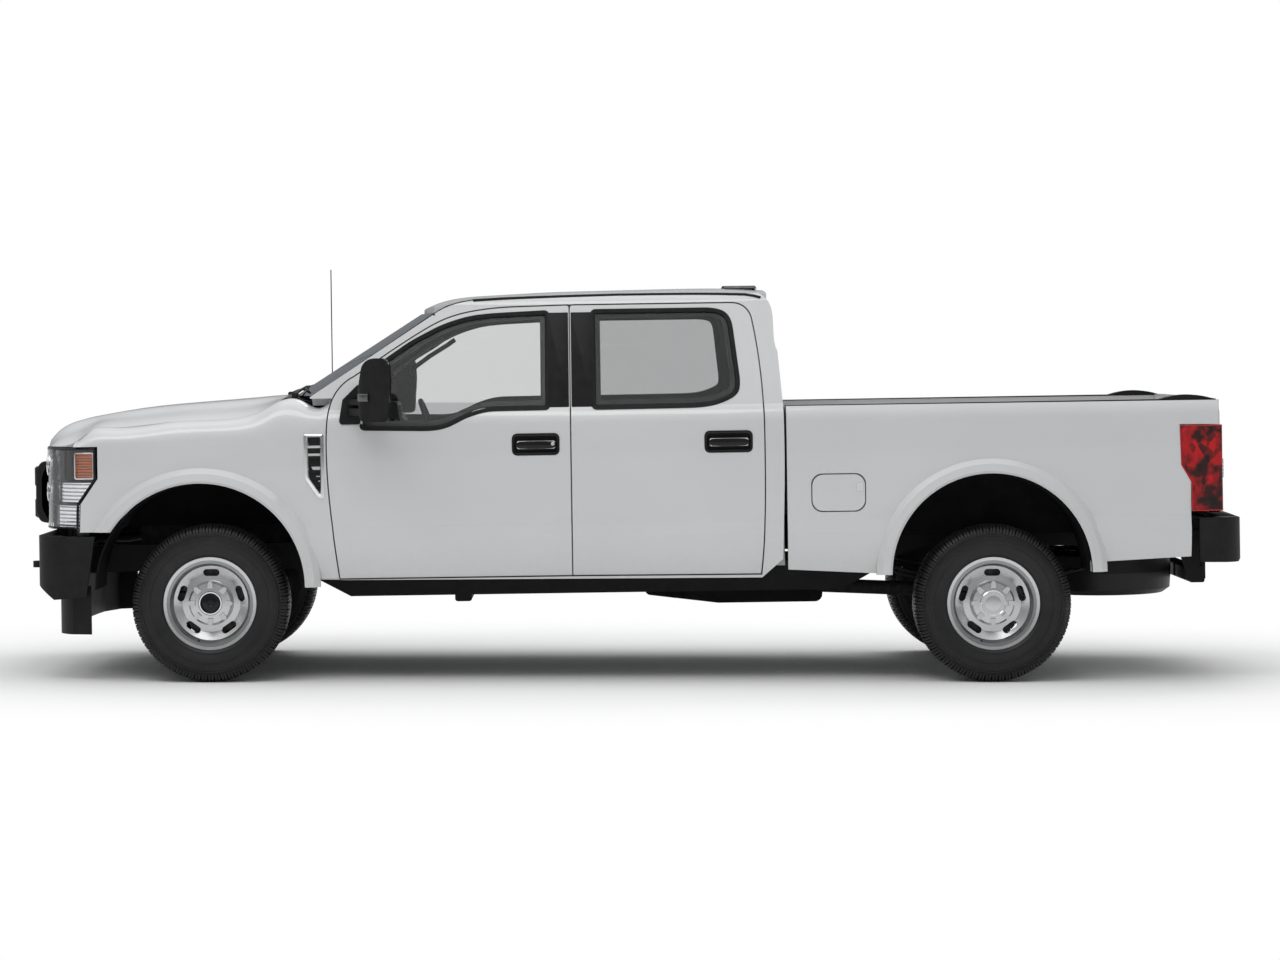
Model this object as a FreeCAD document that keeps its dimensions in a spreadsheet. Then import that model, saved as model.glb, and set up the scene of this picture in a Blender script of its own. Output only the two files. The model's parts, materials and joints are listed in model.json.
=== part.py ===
"""A crew-cab heavy-duty pickup truck, modelled as an assembly of named pieces.

The row frame has its origin on the ground at the middle of the truck's length. +X runs to the rear, +Y to the
truck's right and +Z up, so the nose points along -X. The cab, bed and frame are drawn level, measured back
from the front axle and up from the ground, and are then tipped nose-down by the rake.
"""

import FreeCAD, Part
import math
import os

Vec = FreeCAD.Vector
doc = FreeCAD.newDocument("pickup_truck")

# Driving dimensions, in millimetres and degrees.
SIZES = {
    # Lengths along the truck, each from the place that the one before it reached
    "front_overhang": 945,
    "hook_reach": 45,
    "axle_to_door": 622,
    "front_door_length": 1262,
    "rear_door_length": 1000,
    "quarter_length": 101,
    "cab_bed_gap": 15,
    "bed_to_axle": 1059,
    "axle_to_bed_end": 1176,
    "rear_bumper_reach": 154,
    # Heights, each above the one before it
    "sill_height": 527,
    "lower_side_height": 268,
    "side_height": 508,
    "shoulder_height": 96,
    "window_height": 488,
    "header_height": 37,
    "rail_height": 46,
    "roof_crown": 42,
    # Widths and the body section, inward from the widest line of the side
    "half_width": 985,
    "sill_inset": 40,
    "crease_inset": 14,
    "shoulder_inset": 8,
    "belt_inset": 45,
    "roof_inset": 207,
    "rake": 0.85,
    # Panels
    "skin": 5,
    "door_thickness": 120,
    "frame_thickness": 50,
    "shut_gap": 7,
    "seat_gap": 0.3,
    "glass_thickness": 5,
    "pillar_gap": 8,
    "pillar_depth": 50,
    "hood_thickness": 26,
    "roof_thickness": 34,
    # Wheels, tyres and axles
    "tyre_radius": 408,
    "tyre_width": 275,
    "rim_radius": 229,
    "rim_width": 206,
    "front_track": 1736,
    "rear_track": 1706,
    "kingpin_offset": 108,
    "spindle_radius": 34,
    "axle_tube_radius": 45,
    "wheel_slots": 5,
    "wheel_lugs": 8,
    "hub_cap_radius": 113,
    # Wheel arches
    "front_arch_radius": 545,
    "rear_arch_radius": 517,
    "front_arch_lead": 44,
    "arch_height": 486,
    "rear_arch_rise": 20,
    "flare_width": 80,
    "flare_depth": 31,
    # Bed
    "bed_depth": 536,
    "rail_drop": 14,
    "tailgate_thickness": 72,
    "wheelhouse_inset": 344,
    "bed_ribs": 9,
    "bed_rib_height": 9,
    # Ladder frame
    "rail_outside": 475,
    "rail_section_width": 75,
    "rail_section_height": 150,
    "rail_height_mid": 400,
    "rail_height_rear": 615,
    # Grille, springs and receiver
    "grille_half_width": 560,
    "grille_columns": 11,
    "grille_bar_height": 92,
    "coil_turns": 6,
    "spring_leaves": 4,
    "receiver_bore": 64,
    "hitch_pin_radius": 8.2,
}

sheet = doc.addObject("Spreadsheet::Sheet", "sizes")
for row, (name, value) in enumerate(SIZES.items(), 1):
    sheet.set(f"A{row}", name)
    sheet.set(f"B{row}", str(value))
    sheet.setAlias(f"B{row}", name)
doc.recompute()


class Sizes:
    """Reads a driving dimension back from the spreadsheet."""

    def __getattr__(self, name):
        return float(sheet.get(name))


s = Sizes()

# Stations along the truck, back from the front axle
NOSE = -s.front_overhang
DOOR_X = s.axle_to_door
PILLAR_X = DOOR_X + s.front_door_length
QUARTER_X = PILLAR_X + s.rear_door_length
CAB_X = QUARTER_X + s.quarter_length
BED_X = CAB_X + s.cab_bed_gap
AXLE_X = BED_X + s.bed_to_axle
BED_END = AXLE_X + s.axle_to_bed_end
TAIL = BED_END + s.rear_bumper_reach

# Heights of the body's lines above the ground at the front axle
SILL = s.sill_height
CREASE = SILL + s.lower_side_height
SHOULDER = CREASE + s.side_height
BELT = SHOULDER + s.shoulder_height
WINDOW_TOP = BELT + s.window_height
DOOR_TOP = WINDOW_TOP + s.header_height
ROOF_SIDE = DOOR_TOP + s.rail_height
CROWN = ROOF_SIDE + s.roof_crown
BED_TOP = BELT - s.rail_drop
BED_FLOOR = BED_TOP - s.bed_depth
WIDE = s.half_width
CAB_FLOOR = SILL + 65

# Wheel centres in the row frame, and the tip that lays the body over the axles
HOOK_TIP = NOSE - s.hook_reach
RAKE = math.radians(s.rake)


def tipped(x, z):
    """A body point after the rake, still measured from the front axle."""
    return x * math.cos(RAKE) - z * math.sin(RAKE), x * math.sin(RAKE) + z * math.cos(RAKE)


HOOK_Z = CREASE - 200
FRONT_AXLE_ROW = -(tipped(HOOK_TIP, HOOK_Z)[0] + tipped(TAIL, CREASE - 17)[0]) / 2
REAR_AXLE_Z = (s.tyre_radius - AXLE_X * math.sin(RAKE)) / math.cos(RAKE)
REAR_AXLE_ROW = FRONT_AXLE_ROW + tipped(AXLE_X, REAR_AXLE_Z)[0]
BODY_PLACE = FreeCAD.Placement(Vec(FRONT_AXLE_ROW, 0, 0), FreeCAD.Rotation(Vec(0, 1, 0), -s.rake))
FRONT_PLACE = FreeCAD.Placement(Vec(FRONT_AXLE_ROW, 0, s.tyre_radius), FreeCAD.Rotation())
REAR_PLACE = FreeCAD.Placement(Vec(REAR_AXLE_ROW, 0, s.tyre_radius), FreeCAD.Rotation())

FAR = 20000
NODES = {}


# Outlines. An outline is a closed list of points (u, v). A third number rounds that corner, ("via", u, v)
# bends the run between its neighbours into an arc, and ("thru", u, v) points make one smooth curve.
def place_of(item):
    return (item[1], item[2]) if isinstance(item[0], str) else (item[0], item[1])


def moved(item, u, v):
    return (item[0], u, v) if isinstance(item[0], str) else (u, v, *item[2:])


def grown(outline, by):
    """The same outline, moved outward by a distance (inward if negative)."""
    points = [place_of(i) for i in outline]
    n = len(points)
    area = sum(points[i][0] * points[(i + 1) % n][1] - points[(i + 1) % n][0] * points[i][1]
               for i in range(n))
    side = 1 if area > 0 else -1
    result = []
    for i, item in enumerate(outline):
        before, here, after = points[i - 1], points[i], points[(i + 1) % n]
        normals = []
        for a, b in ((before, here), (here, after)):
            run = math.hypot(b[0] - a[0], b[1] - a[1])
            normals.append((side * (b[1] - a[1]) / run, -side * (b[0] - a[0]) / run))
        (au, av), (bu, bv) = normals
        spread = max(1 + au * bu + av * bv, 0.35)
        result.append(moved(item, here[0] + by * (au + bu) / spread, here[1] + by * (av + bv) / spread))
    return result


def rounded_corner(before, here, after, radius):
    """The two ends and the middle of the arc that rounds a corner between straight runs."""
    to_before = Vec(before[0] - here[0], before[1] - here[1], 0)
    to_after = Vec(after[0] - here[0], after[1] - here[1], 0)
    half = to_before.getAngle(to_after) / 2
    reach = min(radius / math.tan(half), 0.49 * to_before.Length, 0.49 * to_after.Length)
    to_before.normalize()
    to_after.normalize()
    corner = Vec(here[0], here[1], 0)
    inward = (to_before + to_after).normalize()
    radius = reach * math.tan(half)
    middle = corner + inward * (radius / math.sin(half) - radius)
    return corner + to_before * reach, middle, corner + to_after * reach


def edges_of(outline):
    """The lines, arcs and smooth curves of an outline."""
    if outline[0] == "circle":
        _, (u, v), radius = outline
        return [Part.Circle(Vec(u, v, 0), Vec(0, 0, 1), radius)]
    anchors = [i for i, item in enumerate(outline) if not isinstance(item[0], str)]
    n = len(outline)
    cut = {}
    for i in anchors:
        if len(outline[i]) > 2:  # a rounded corner
            cut[i] = rounded_corner(place_of(outline[i - 1]), outline[i], place_of(outline[(i + 1) % n]),
                                    outline[i][2])
    edges = []
    for k, i in enumerate(anchors):
        j = anchors[(k + 1) % len(anchors)]
        start = cut[i][2] if i in cut else Vec(*place_of(outline[i]), 0)
        end = cut[j][0] if j in cut else Vec(*place_of(outline[j]), 0)
        between = [outline[m % n] for m in range(i + 1, j if j > i else j + n)]
        if i in cut:
            edges.append(Part.Arc(cut[i][0], cut[i][1], cut[i][2]))
        if not between:
            edges.append(Part.LineSegment(start, end))
        elif between[0][0] == "via":
            edges.append(Part.Arc(start, Vec(*place_of(between[0]), 0), end))
        else:
            curve = Part.BSplineCurve()
            curve.interpolate([start] + [Vec(*place_of(b), 0) for b in between] + [end])
            edges.append(curve)
    return edges


def box_outline(u0, u1, v0, v1, radius=None):
    corners = [(u0, v0), (u1, v0), (u1, v1), (u0, v1)]
    return [(*c, radius) for c in corners] if radius else corners


def slot_outline(u, v, half_length, half_height):
    """A slot with round ends, along u."""
    run = half_length - half_height
    return [(u - run, v - half_height), (u + run, v - half_height), ("via", u + half_length, v),
            (u + run, v + half_height), (u - run, v + half_height), ("via", u - half_length, v)]


def shifted(path, by):
    """An open path of (y, z) points moved inboard."""
    return [moved(i, place_of(i)[0] + by, place_of(i)[1]) for i in path]


def slab(path, thickness):
    """A closed section between an open path and the same path moved inboard by the thickness."""
    return path + shifted(path, thickness)[::-1]


class Piece:
    """One named sub-part, built as a body from sketches and features."""

    def __init__(self, label, place=BODY_PLACE, node=True):
        self.body = doc.addObject("PartDesign::Body", label)
        self.body.Label = label
        self.body.Placement = place
        if node:
            NODES[label] = self.body

    def sketch(self, plane, outlines, at=0.0, centre=(0, 0)):
        """A sketch on one of the body's planes, moved along X, Y or Z to where it is wanted."""
        drawing = self.body.newObject("Sketcher::SketchObject", "Outline")
        support = next(f for f in self.body.Origin.OriginFeatures if f.Role == plane + "_Plane")
        drawing.AttachmentSupport = (support, [""])
        drawing.MapMode = "FlatFace"
        normal = -1 if plane == "XZ" else 1
        drawing.AttachmentOffset = FreeCAD.Placement(Vec(centre[0], centre[1], normal * at),
                                                     FreeCAD.Rotation())
        for outline in outlines:
            drawing.addGeometry(edges_of(outline), False)
        return drawing

    def feature(self, kind, name, drawing):
        made = self.body.newObject("PartDesign::" + kind, name)
        made.Profile = drawing
        drawing.Visibility = False
        return made

    def pad(self, plane, outlines, start, end, bind=None, name="Pad"):
        """Fills outlines from start to end along the plane's own direction.

        bind names the sheet's own length.
        """
        if not isinstance(outlines[0], list):
            outlines = [outlines]
        first = end if plane == "XZ" else start
        made = self.feature("Pad", name, self.sketch(plane, outlines, first))
        made.Length = end - start
        if bind:
            made.setExpression("Length", bind)
        return made

    def pocket(self, plane, outlines, start=None, end=None, name="Pocket"):
        """Cuts outlines away between two places along the plane's direction, or right through."""
        if not isinstance(outlines[0], list):
            outlines = [outlines]
        if start is None:
            made = self.feature("Pocket", name, self.sketch(plane, outlines))
            made.Type = "ThroughAll"
            made.SideType = "Symmetric"
            return made
        first = start if plane == "XZ" else end
        made = self.feature("Pocket", name, self.sketch(plane, outlines, first))
        made.Length = end - start
        return made

    def trim(self, plane, outline, name="Trim"):
        """Cuts away everything outside an outline."""
        return self.pocket(plane, [box_outline(-FAR, FAR, -FAR, FAR), outline], name=name)

    def loft(self, plane, stations, name="Loft", ruled=False):
        """Blends outlines at several places along the plane's direction."""
        drawings = [self.sketch(plane, [outline], at) for at, outline in stations]
        made = self.feature("AdditiveLoft", name, drawings[0])
        made.Sections = [(d, [""]) for d in drawings[1:]]
        made.Ruled = ruled
        for d in drawings:
            d.Visibility = False
        return made

    def turn(self, plane, outline, at=0.0, centre=(0, 0), axis="H_Axis", angle=360, name="Turn"):
        """Revolves an outline about the sketch's own axis."""
        drawing = self.sketch(plane, [outline], at, centre)
        made = self.feature("Revolution", name, drawing)
        made.ReferenceAxis = (drawing, [axis])
        made.Angle = abs(angle)
        made.Reversed = angle < 0
        return made

    def repeat_round(self, feature, count, axis="Y_Axis", bind=None):
        made = self.body.newObject("PartDesign::PolarPattern", "Round")
        made.Originals = [feature]
        made.Axis = (next(f for f in self.body.Origin.OriginFeatures if f.Role == axis), [""])
        made.Angle = 360
        made.Occurrences = int(count)
        if bind:
            made.setExpression("Occurrences", bind)
        self.body.Tip = made
        return made

    def repeat_along(self, feature, length, count, axis="X_Axis", bind=None):
        made = self.body.newObject("PartDesign::LinearPattern", "Along")
        made.Originals = [feature]
        made.Direction = (next(f for f in self.body.Origin.OriginFeatures if f.Role == axis), [""])
        made.Length = length
        made.Occurrences = int(count)
        if bind:
            made.setExpression("Occurrences", bind)
        self.body.Tip = made
        return made


def mirrored(label, source):
    """The piece on the truck's right that mirrors one on its left."""
    made = doc.addObject("Part::Mirroring", label)
    made.Label = label
    made.Source = source.body if isinstance(source, Piece) else source
    made.Normal = (0, 1, 0)
    NODES[label] = made
    return made


def both_sides(label, source):
    """One node that holds a piece and its mirror image, as two solids that don't touch."""
    return together(label, [source, opposite(label + "_other", source)])


def fused(label, pieces, node=True):
    """One solid from several pieces that touch."""
    made = doc.addObject("Part::MultiFuse", label)
    made.Label = label
    made.Shapes = [p.body if isinstance(p, Piece) else p for p in pieces]
    if node:
        NODES[label] = made
    return made


def together(label, pieces):
    """One node that holds several solids that don't touch."""
    made = doc.addObject("Part::Compound", label)
    made.Label = label
    made.Links = [p.body if isinstance(p, Piece) else p for p in pieces]
    NODES[label] = made
    return made


def opposite(label, source):
    """The mirror image of a piece, for a node that holds both sides."""
    made = doc.addObject("Part::Mirroring", label)
    made.Source = source.body if isinstance(source, Piece) else source
    made.Normal = (0, 1, 0)
    return made


# The section of the body side, from the sill up, on the truck's left. Every side panel shares it.
def lower_path(wide, bottom):
    """From a panel's lower edge to the shoulder line."""
    rise = CREASE - bottom
    return [
        (-(wide - s.sill_inset), bottom),
        ("via", -(wide - 0.37 * s.sill_inset), bottom + 0.3 * rise),
        (-wide, bottom + 0.76 * rise),
        (-(wide - s.crease_inset), CREASE),
        ("via", -(wide - 0.3 * s.crease_inset), (CREASE + SHOULDER) / 2),
        (-(wide - s.shoulder_inset), SHOULDER),
    ]


def side_path(wide, bottom):
    """From a panel's lower edge to the belt line."""
    return lower_path(wide, bottom) + [
        ("via", -(wide - s.shoulder_inset - 0.32 * (s.belt_inset - s.shoulder_inset)),
         SHOULDER + 0.6 * s.shoulder_height),
        (-(wide - s.belt_inset), BELT),
    ]


def glass_y(z, inset=0.0):
    """How far out the side glass plane is at a height, less an inset."""
    lean = (s.roof_inset - s.belt_inset) / (DOOR_TOP - BELT)
    return -(WIDE - s.belt_inset - lean * (z - BELT)) + inset


# Side outlines in (x, z). The doors share the pillar line with the windscreen and the cab side.
PILLAR_RISE = DOOR_TOP - BELT


def front_door_outline():
    end = PILLAR_X - s.shut_gap / 2
    return [
        (DOOR_X + 59, SILL),
        (end, SILL),
        (end, DOOR_TOP, 12),
        (DOOR_X + 963, DOOR_TOP - 6),
        ("thru", DOOR_X + 772, DOOR_TOP - 23),
        ("thru", DOOR_X + 625, BELT + 0.886 * PILLAR_RISE),
        ("thru", DOOR_X + 467, BELT + 0.73 * PILLAR_RISE),
        ("thru", DOOR_X + 287, BELT + 0.509 * PILLAR_RISE),
        (DOOR_X + 140, BELT + 0.32 * PILLAR_RISE),
        ("thru", DOOR_X + 62, BELT + 0.2 * PILLAR_RISE),
        ("thru", DOOR_X + 24, BELT + 0.07 * PILLAR_RISE),
        ("thru", DOOR_X + 5, BELT - 60),
        ("thru", DOOR_X, SHOULDER - 90),
        ("thru", DOOR_X + 11, CREASE + 155),
    ]


def front_window_outline():
    end = PILLAR_X - 120
    return [
        (DOOR_X + 186, SHOULDER + 4, 14),
        (DOOR_X + 560, SHOULDER - 4),
        ("thru", DOOR_X + 640, SHOULDER + 18),
        ("thru", DOOR_X + 725, BELT - 32),
        (DOOR_X + 830, BELT - 2),
        (end, BELT, 12),
        (end, WINDOW_TOP - 2, 14),
        (DOOR_X + 849, WINDOW_TOP - 14),
        ("thru", DOOR_X + 737, WINDOW_TOP - 26),
        ("thru", DOOR_X + 600, WINDOW_TOP - 68),
        (DOOR_X + 440, BELT + 0.69 * s.window_height),
        (DOOR_X + 186, BELT + 0.334 * s.window_height, 8),
    ]


def rear_door_outline():
    start = PILLAR_X + s.shut_gap / 2
    return [
        (start, SILL),
        (QUARTER_X - 26, SILL - 6),
        ("thru", QUARTER_X - 8, CREASE - 60),
        ("thru", QUARTER_X, (CREASE + SHOULDER) / 2 + 60),
        ("thru", QUARTER_X - 6, BELT + 60),
        ("thru", QUARTER_X - 24, BELT + 0.5 * PILLAR_RISE),
        (QUARTER_X - 54, DOOR_TOP - 75),
        ("thru", QUARTER_X - 86, DOOR_TOP - 24),
        (QUARTER_X - 160, DOOR_TOP),
        (start, DOOR_TOP, 12),
    ]


def rear_window_outline():
    start = PILLAR_X + 125
    return [
        (start, BELT - 2, 14),
        (QUARTER_X - 330, BELT + 1),
        ("thru", QUARTER_X - 240, BELT + 14),
        (QUARTER_X - 160, BELT + 44),
        ("via", QUARTER_X - 134, BELT + 70),
        (QUARTER_X - 132, BELT + 110),
        (QUARTER_X - 168, WINDOW_TOP - 60),
        ("via", QUARTER_X - 196, WINDOW_TOP - 16),
        (QUARTER_X - 260, WINDOW_TOP),
        (start, WINDOW_TOP, 14),
    ]


# Doors. Each has an outer skin out to its shut lines, and a thicker inner half set back from them.
INNER_Y = -(WIDE - s.door_thickness)
SET_BACK = 20
HEADROOM = 20


def door_section():
    """The outer line of a door, from below the sill to above the door top."""
    return side_path(WIDE, SILL - HEADROOM) + [(glass_y(DOOR_TOP + HEADROOM), DOOR_TOP + HEADROOM)]


def door_inner_path(gap=0.0):
    """The inner faces of a door, from below the sill to above the door top, moved inboard by a gap."""
    frame = s.frame_thickness + gap
    return [(INNER_Y + gap, SILL - HEADROOM), (INNER_Y + gap, BELT - 8),
            (glass_y(BELT - 8, frame), BELT - 8), (glass_y(DOOR_TOP + HEADROOM, frame),
                                                   DOOR_TOP + HEADROOM)]


def build_door(label, outline, window, start, end):
    door = Piece(label)
    inside = shifted(door_section(), s.skin - 1)[::-1] + door_inner_path()
    door.pad("YZ", inside, start, end, name="InnerHalf")
    door.trim("XZ", grown(outline, -SET_BACK), name="InnerOutline")
    door.pad("YZ", slab(door_section(), s.skin), start, end, name="OuterSkin")
    door.trim("XZ", outline, name="DoorOutline")
    door.pocket("XZ", window, name="WindowOpening")
    return door


def door_trim(door, x0, x1):
    """The hollow of the inner panel, with the armrest that it leaves and a map pocket below."""
    deep = INNER_Y - 24
    door.pocket("XZ", box_outline(x0, x1, CREASE + 285, SHOULDER - 75, 30), deep, INNER_Y + 30,
                name="UpperPanel")
    door.pocket("XZ", box_outline(x0, x1, CREASE - 120, CREASE + 205, 40), deep, INNER_Y + 30,
                name="LowerPanel")
    door.pad("XZ", box_outline(x0 + 20, x1 - 20, CREASE - 110, CREASE - 10, 30), deep - 5, INNER_Y - 6,
             name="MapPocket")


def door_handle(door, x0, x1, z0, z1):
    """The recess for the fingers, and the handle across it."""
    y = -WIDE + 6
    door.pocket("XZ", box_outline(x0, x1, z0, z1, 14), -WIDE - 40, y + 26, name="HandleRecess")
    door.pad("XZ", box_outline(x0 + 18, x1 - 14, z0 + 26, z1 - 30, 10), y - 14, y + 26, name="Handle")


HANDLE_LOW = SHOULDER - 145
HANDLE_HIGH = SHOULDER - 48
front_door = build_door("door_front_left", front_door_outline(), front_window_outline(), DOOR_X - 20,
                        PILLAR_X)
door_handle(front_door, PILLAR_X - 297, PILLAR_X - 67, HANDLE_LOW, HANDLE_HIGH)
rear_door = build_door("door_rear_left", rear_door_outline(), rear_window_outline(), PILLAR_X,
                       QUARTER_X + 20)
door_handle(rear_door, QUARTER_X - 301, QUARTER_X - 68, HANDLE_LOW, HANDLE_HIGH)
door_trim(front_door, DOOR_X + 150, PILLAR_X - 90)
door_trim(rear_door, PILLAR_X + 110, QUARTER_X - 110)
mirrored("door_front_right", front_door)
mirrored("door_rear_right", rear_door)


def door_glass(label, window):
    glass = Piece(label)
    low = SHOULDER - 40
    pane = [(glass_y(low, 12), low), (glass_y(DOOR_TOP, 12), DOOR_TOP),
            (glass_y(DOOR_TOP, 12 + s.glass_thickness), DOOR_TOP),
            (glass_y(low, 12 + s.glass_thickness), low)]
    glass.pad("YZ", pane, DOOR_X, QUARTER_X)
    glass.trim("XZ", grown(window, -s.seat_gap))
    return glass


mirrored("glass_front_right", door_glass("glass_front_left", front_window_outline()))
mirrored("glass_rear_right", door_glass("glass_rear_left", rear_window_outline()))

# Mirrors, each carried on the front door by two arms
MIRROR_X = DOOR_X + 184
MIRROR_Z = BELT - 58
MIRROR_LENGTH = 169
MIRROR_HEIGHT = 323
MIRROR_Y0 = -(WIDE + 360)
MIRROR_Y1 = -(WIDE + 187)
mirror_piece = Piece("mirror_left")
mirror_side = [(MIRROR_X + 8, MIRROR_Z, 34), (MIRROR_X + MIRROR_LENGTH - 14, MIRROR_Z, 20),
               (MIRROR_X + MIRROR_LENGTH, MIRROR_Z + 0.62 * MIRROR_HEIGHT),
               (MIRROR_X + MIRROR_LENGTH - 6, MIRROR_Z + MIRROR_HEIGHT, 46),
               (MIRROR_X + 30, MIRROR_Z + MIRROR_HEIGHT, 70), (MIRROR_X, MIRROR_Z + 0.5 * MIRROR_HEIGHT)]
mirror_piece.pad("XZ", mirror_side, MIRROR_Y0, MIRROR_Y1, name="Head")
mirror_plan = [(MIRROR_X + MIRROR_LENGTH, MIRROR_Y0 + 4, 12), (MIRROR_X + MIRROR_LENGTH, MIRROR_Y1 - 4, 12),
               (MIRROR_X + 70, MIRROR_Y1, 30), ("via", MIRROR_X, (MIRROR_Y0 + MIRROR_Y1) / 2),
               (MIRROR_X + 70, MIRROR_Y0, 30)]
mirror_piece.trim("XY", mirror_plan, name="HeadPlan")
mirror_piece.pocket("YZ", box_outline(MIRROR_Y0 + 16, MIRROR_Y1 - 16, MIRROR_Z + 104,
                                      MIRROR_Z + MIRROR_HEIGHT - 18, 18),
                    MIRROR_X + MIRROR_LENGTH - 12, MIRROR_X + MIRROR_LENGTH + 5, name="GlassRecess")
mirror_piece.pocket("YZ", box_outline(MIRROR_Y0 + 16, MIRROR_Y1 - 16, MIRROR_Z + 18, MIRROR_Z + 92, 18),
                    MIRROR_X + MIRROR_LENGTH - 22, MIRROR_X + MIRROR_LENGTH + 5, name="SpotterRecess")
sail = [(DOOR_X + 62, SHOULDER + 20, 20), (DOOR_X + 176, SHOULDER + 20, 12),
        (DOOR_X + 176, BELT + 142, 10), (DOOR_X + 84, BELT + 52, 12)]
mirror_piece.pad("XZ", sail, -WIDE + 4, -WIDE + 100, name="Base")
arm = [(DOOR_X + 80, -WIDE + 60), (MIRROR_X + 30, MIRROR_Y1 - 20), (MIRROR_X + 80, MIRROR_Y1 - 20),
       (DOOR_X + 168, -WIDE + 60)]
for low, high in ((30, 66), (84, 112)):
    mirror_piece.pad("XY", arm, MIRROR_Z + low, MIRROR_Z + high, name="Arm")
inside_door = shifted(door_section(), -s.seat_gap) + [(-500, DOOR_TOP + HEADROOM), (-500, SILL - HEADROOM)]
mirror_piece.pocket("YZ", inside_door, name="SeatOnDoor")
mirrored("mirror_right", mirror_piece)

# Cab side: pillars, roof rail, sill and rear quarter, with the two doorways
CAB_INNER = s.pillar_gap + s.pillar_depth
CAB_BOTTOM = SILL - 27
COWL_X = DOOR_X - 82
FENDER_ROOM = 52.3


def cab_inner_path():
    """The cab side's faces toward the cabin, bottom to top."""
    top = ROOF_SIDE + 60
    frame = s.frame_thickness + CAB_INNER
    return [(INNER_Y + CAB_INNER, CAB_BOTTOM - 40), (INNER_Y + CAB_INNER, BELT - 8),
            (glass_y(BELT, frame), BELT), (glass_y(ROOF_SIDE, frame), ROOF_SIDE),
            (glass_y(ROOF_SIDE, frame), top)]


def cab_side_outline():
    return [
        (COWL_X, CAB_BOTTOM + 20),
        (QUARTER_X - 20, CAB_BOTTOM),
        (CAB_X - 12, CREASE - 200),
        ("thru", CAB_X, CREASE + 150),
        ("thru", CAB_X + 2, SHOULDER + 10),
        (CAB_X, BELT + 4),
        (CAB_X - 20, BELT + 0.52 * PILLAR_RISE),
        ("thru", CAB_X - 38, BELT + 0.8 * PILLAR_RISE),
        ("thru", CAB_X - 60, DOOR_TOP + 6),
        (CAB_X - 110, ROOF_SIDE + 4),
        ("thru", CAB_X - 450, ROOF_SIDE + 7),
        ("thru", DOOR_X + 1500, ROOF_SIDE + 8),
        ("thru", DOOR_X + 1070, ROOF_SIDE),
        ("thru", DOOR_X + 766, ROOF_SIDE - 11),
        ("thru", DOOR_X + 640, ROOF_SIDE - 38),
        (DOOR_X + 560, ROOF_SIDE - 78),
        (DOOR_X - 89, BELT + 67),
        (COWL_X, BELT + 40),
    ]


cab_shell = Piece("cab_side_shell", node=False)
rail_top = [("via", glass_y(DOOR_TOP + 30, 4), DOOR_TOP + 30), (glass_y(ROOF_SIDE, 45), ROOF_SIDE + 12)]
cab_outer = side_path(WIDE, CAB_BOTTOM - 40) + [(glass_y(DOOR_TOP), DOOR_TOP)] + rail_top
cab_shell.pad("YZ", cab_outer + cab_inner_path()[::-1], COWL_X - 10, CAB_X + 20, name="Wall")
cab_shell.trim("XZ", cab_side_outline(), name="Silhouette")
cab_shell.pocket("XZ", grown(front_door_outline(), -60), name="FrontDoorway")
cab_shell.pocket("XZ", grown(rear_door_outline(), -60), name="RearDoorway")
cab_shell.pocket("XY", box_outline(COWL_X - 20, DOOR_X + 70, -WIDE - 60, -WIDE + FENDER_ROOM), SILL - 80,
                 BELT + 60, name="FenderRoom")
cab_shell.pocket("XY", box_outline(COWL_X - 20, DOOR_X + 24, -WIDE - 60, -WIDE + 160), BELT - 90,
                 BELT + 60, name="FenderTopRoom")


def door_room(label, outline, start, end):
    """The space that a door fills in the cab side, with its clearances."""
    room = Piece(label, node=False)
    outside = [(-WIDE - 100, DOOR_TOP + HEADROOM), (-WIDE - 100, SILL - HEADROOM)]
    room.pad("YZ", door_inner_path(s.pillar_gap) + outside, start, end)
    room.trim("XZ", grown(outline, s.shut_gap))
    return room.body


rooms = fused("door_rooms", [
    door_room("front_door_room", front_door_outline(), DOOR_X - 40, PILLAR_X + 20),
    door_room("rear_door_room", rear_door_outline(), PILLAR_X - 20, QUARTER_X + 40),
], node=False)
doorways = doc.addObject("Part::Cut", "doorways")
doorways.Base = cab_shell.body
doorways.Tool = rooms
strikers = Piece("strikers", node=False)
for x in (PILLAR_X - 90, QUARTER_X - 100):
    strikers.pad("XZ", box_outline(x, x + 44, HANDLE_LOW - 30, HANDLE_LOW + 60, 8), INNER_Y + s.seat_gap,
                 INNER_Y + CAB_INNER - 5, name="Striker")
both_sides("cab_sides", fused("cab_side", [doorways, strikers], node=False))

# Roof, back wall and floor, between the two cab sides
INSIDE_Y = -(INNER_Y + CAB_INNER) - s.seat_gap
ROOF_Y = -glass_y(ROOF_SIDE, s.frame_thickness + CAB_INNER) - s.seat_gap
roof = Piece("cab_roof")


def roof_section(edge, centre):
    t = s.roof_thickness
    return [(-ROOF_Y, edge), ("via", 0, centre), (ROOF_Y, edge), (ROOF_Y, edge - t),
            ("via", 0, centre - t), (-ROOF_Y, edge - t)]


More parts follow.
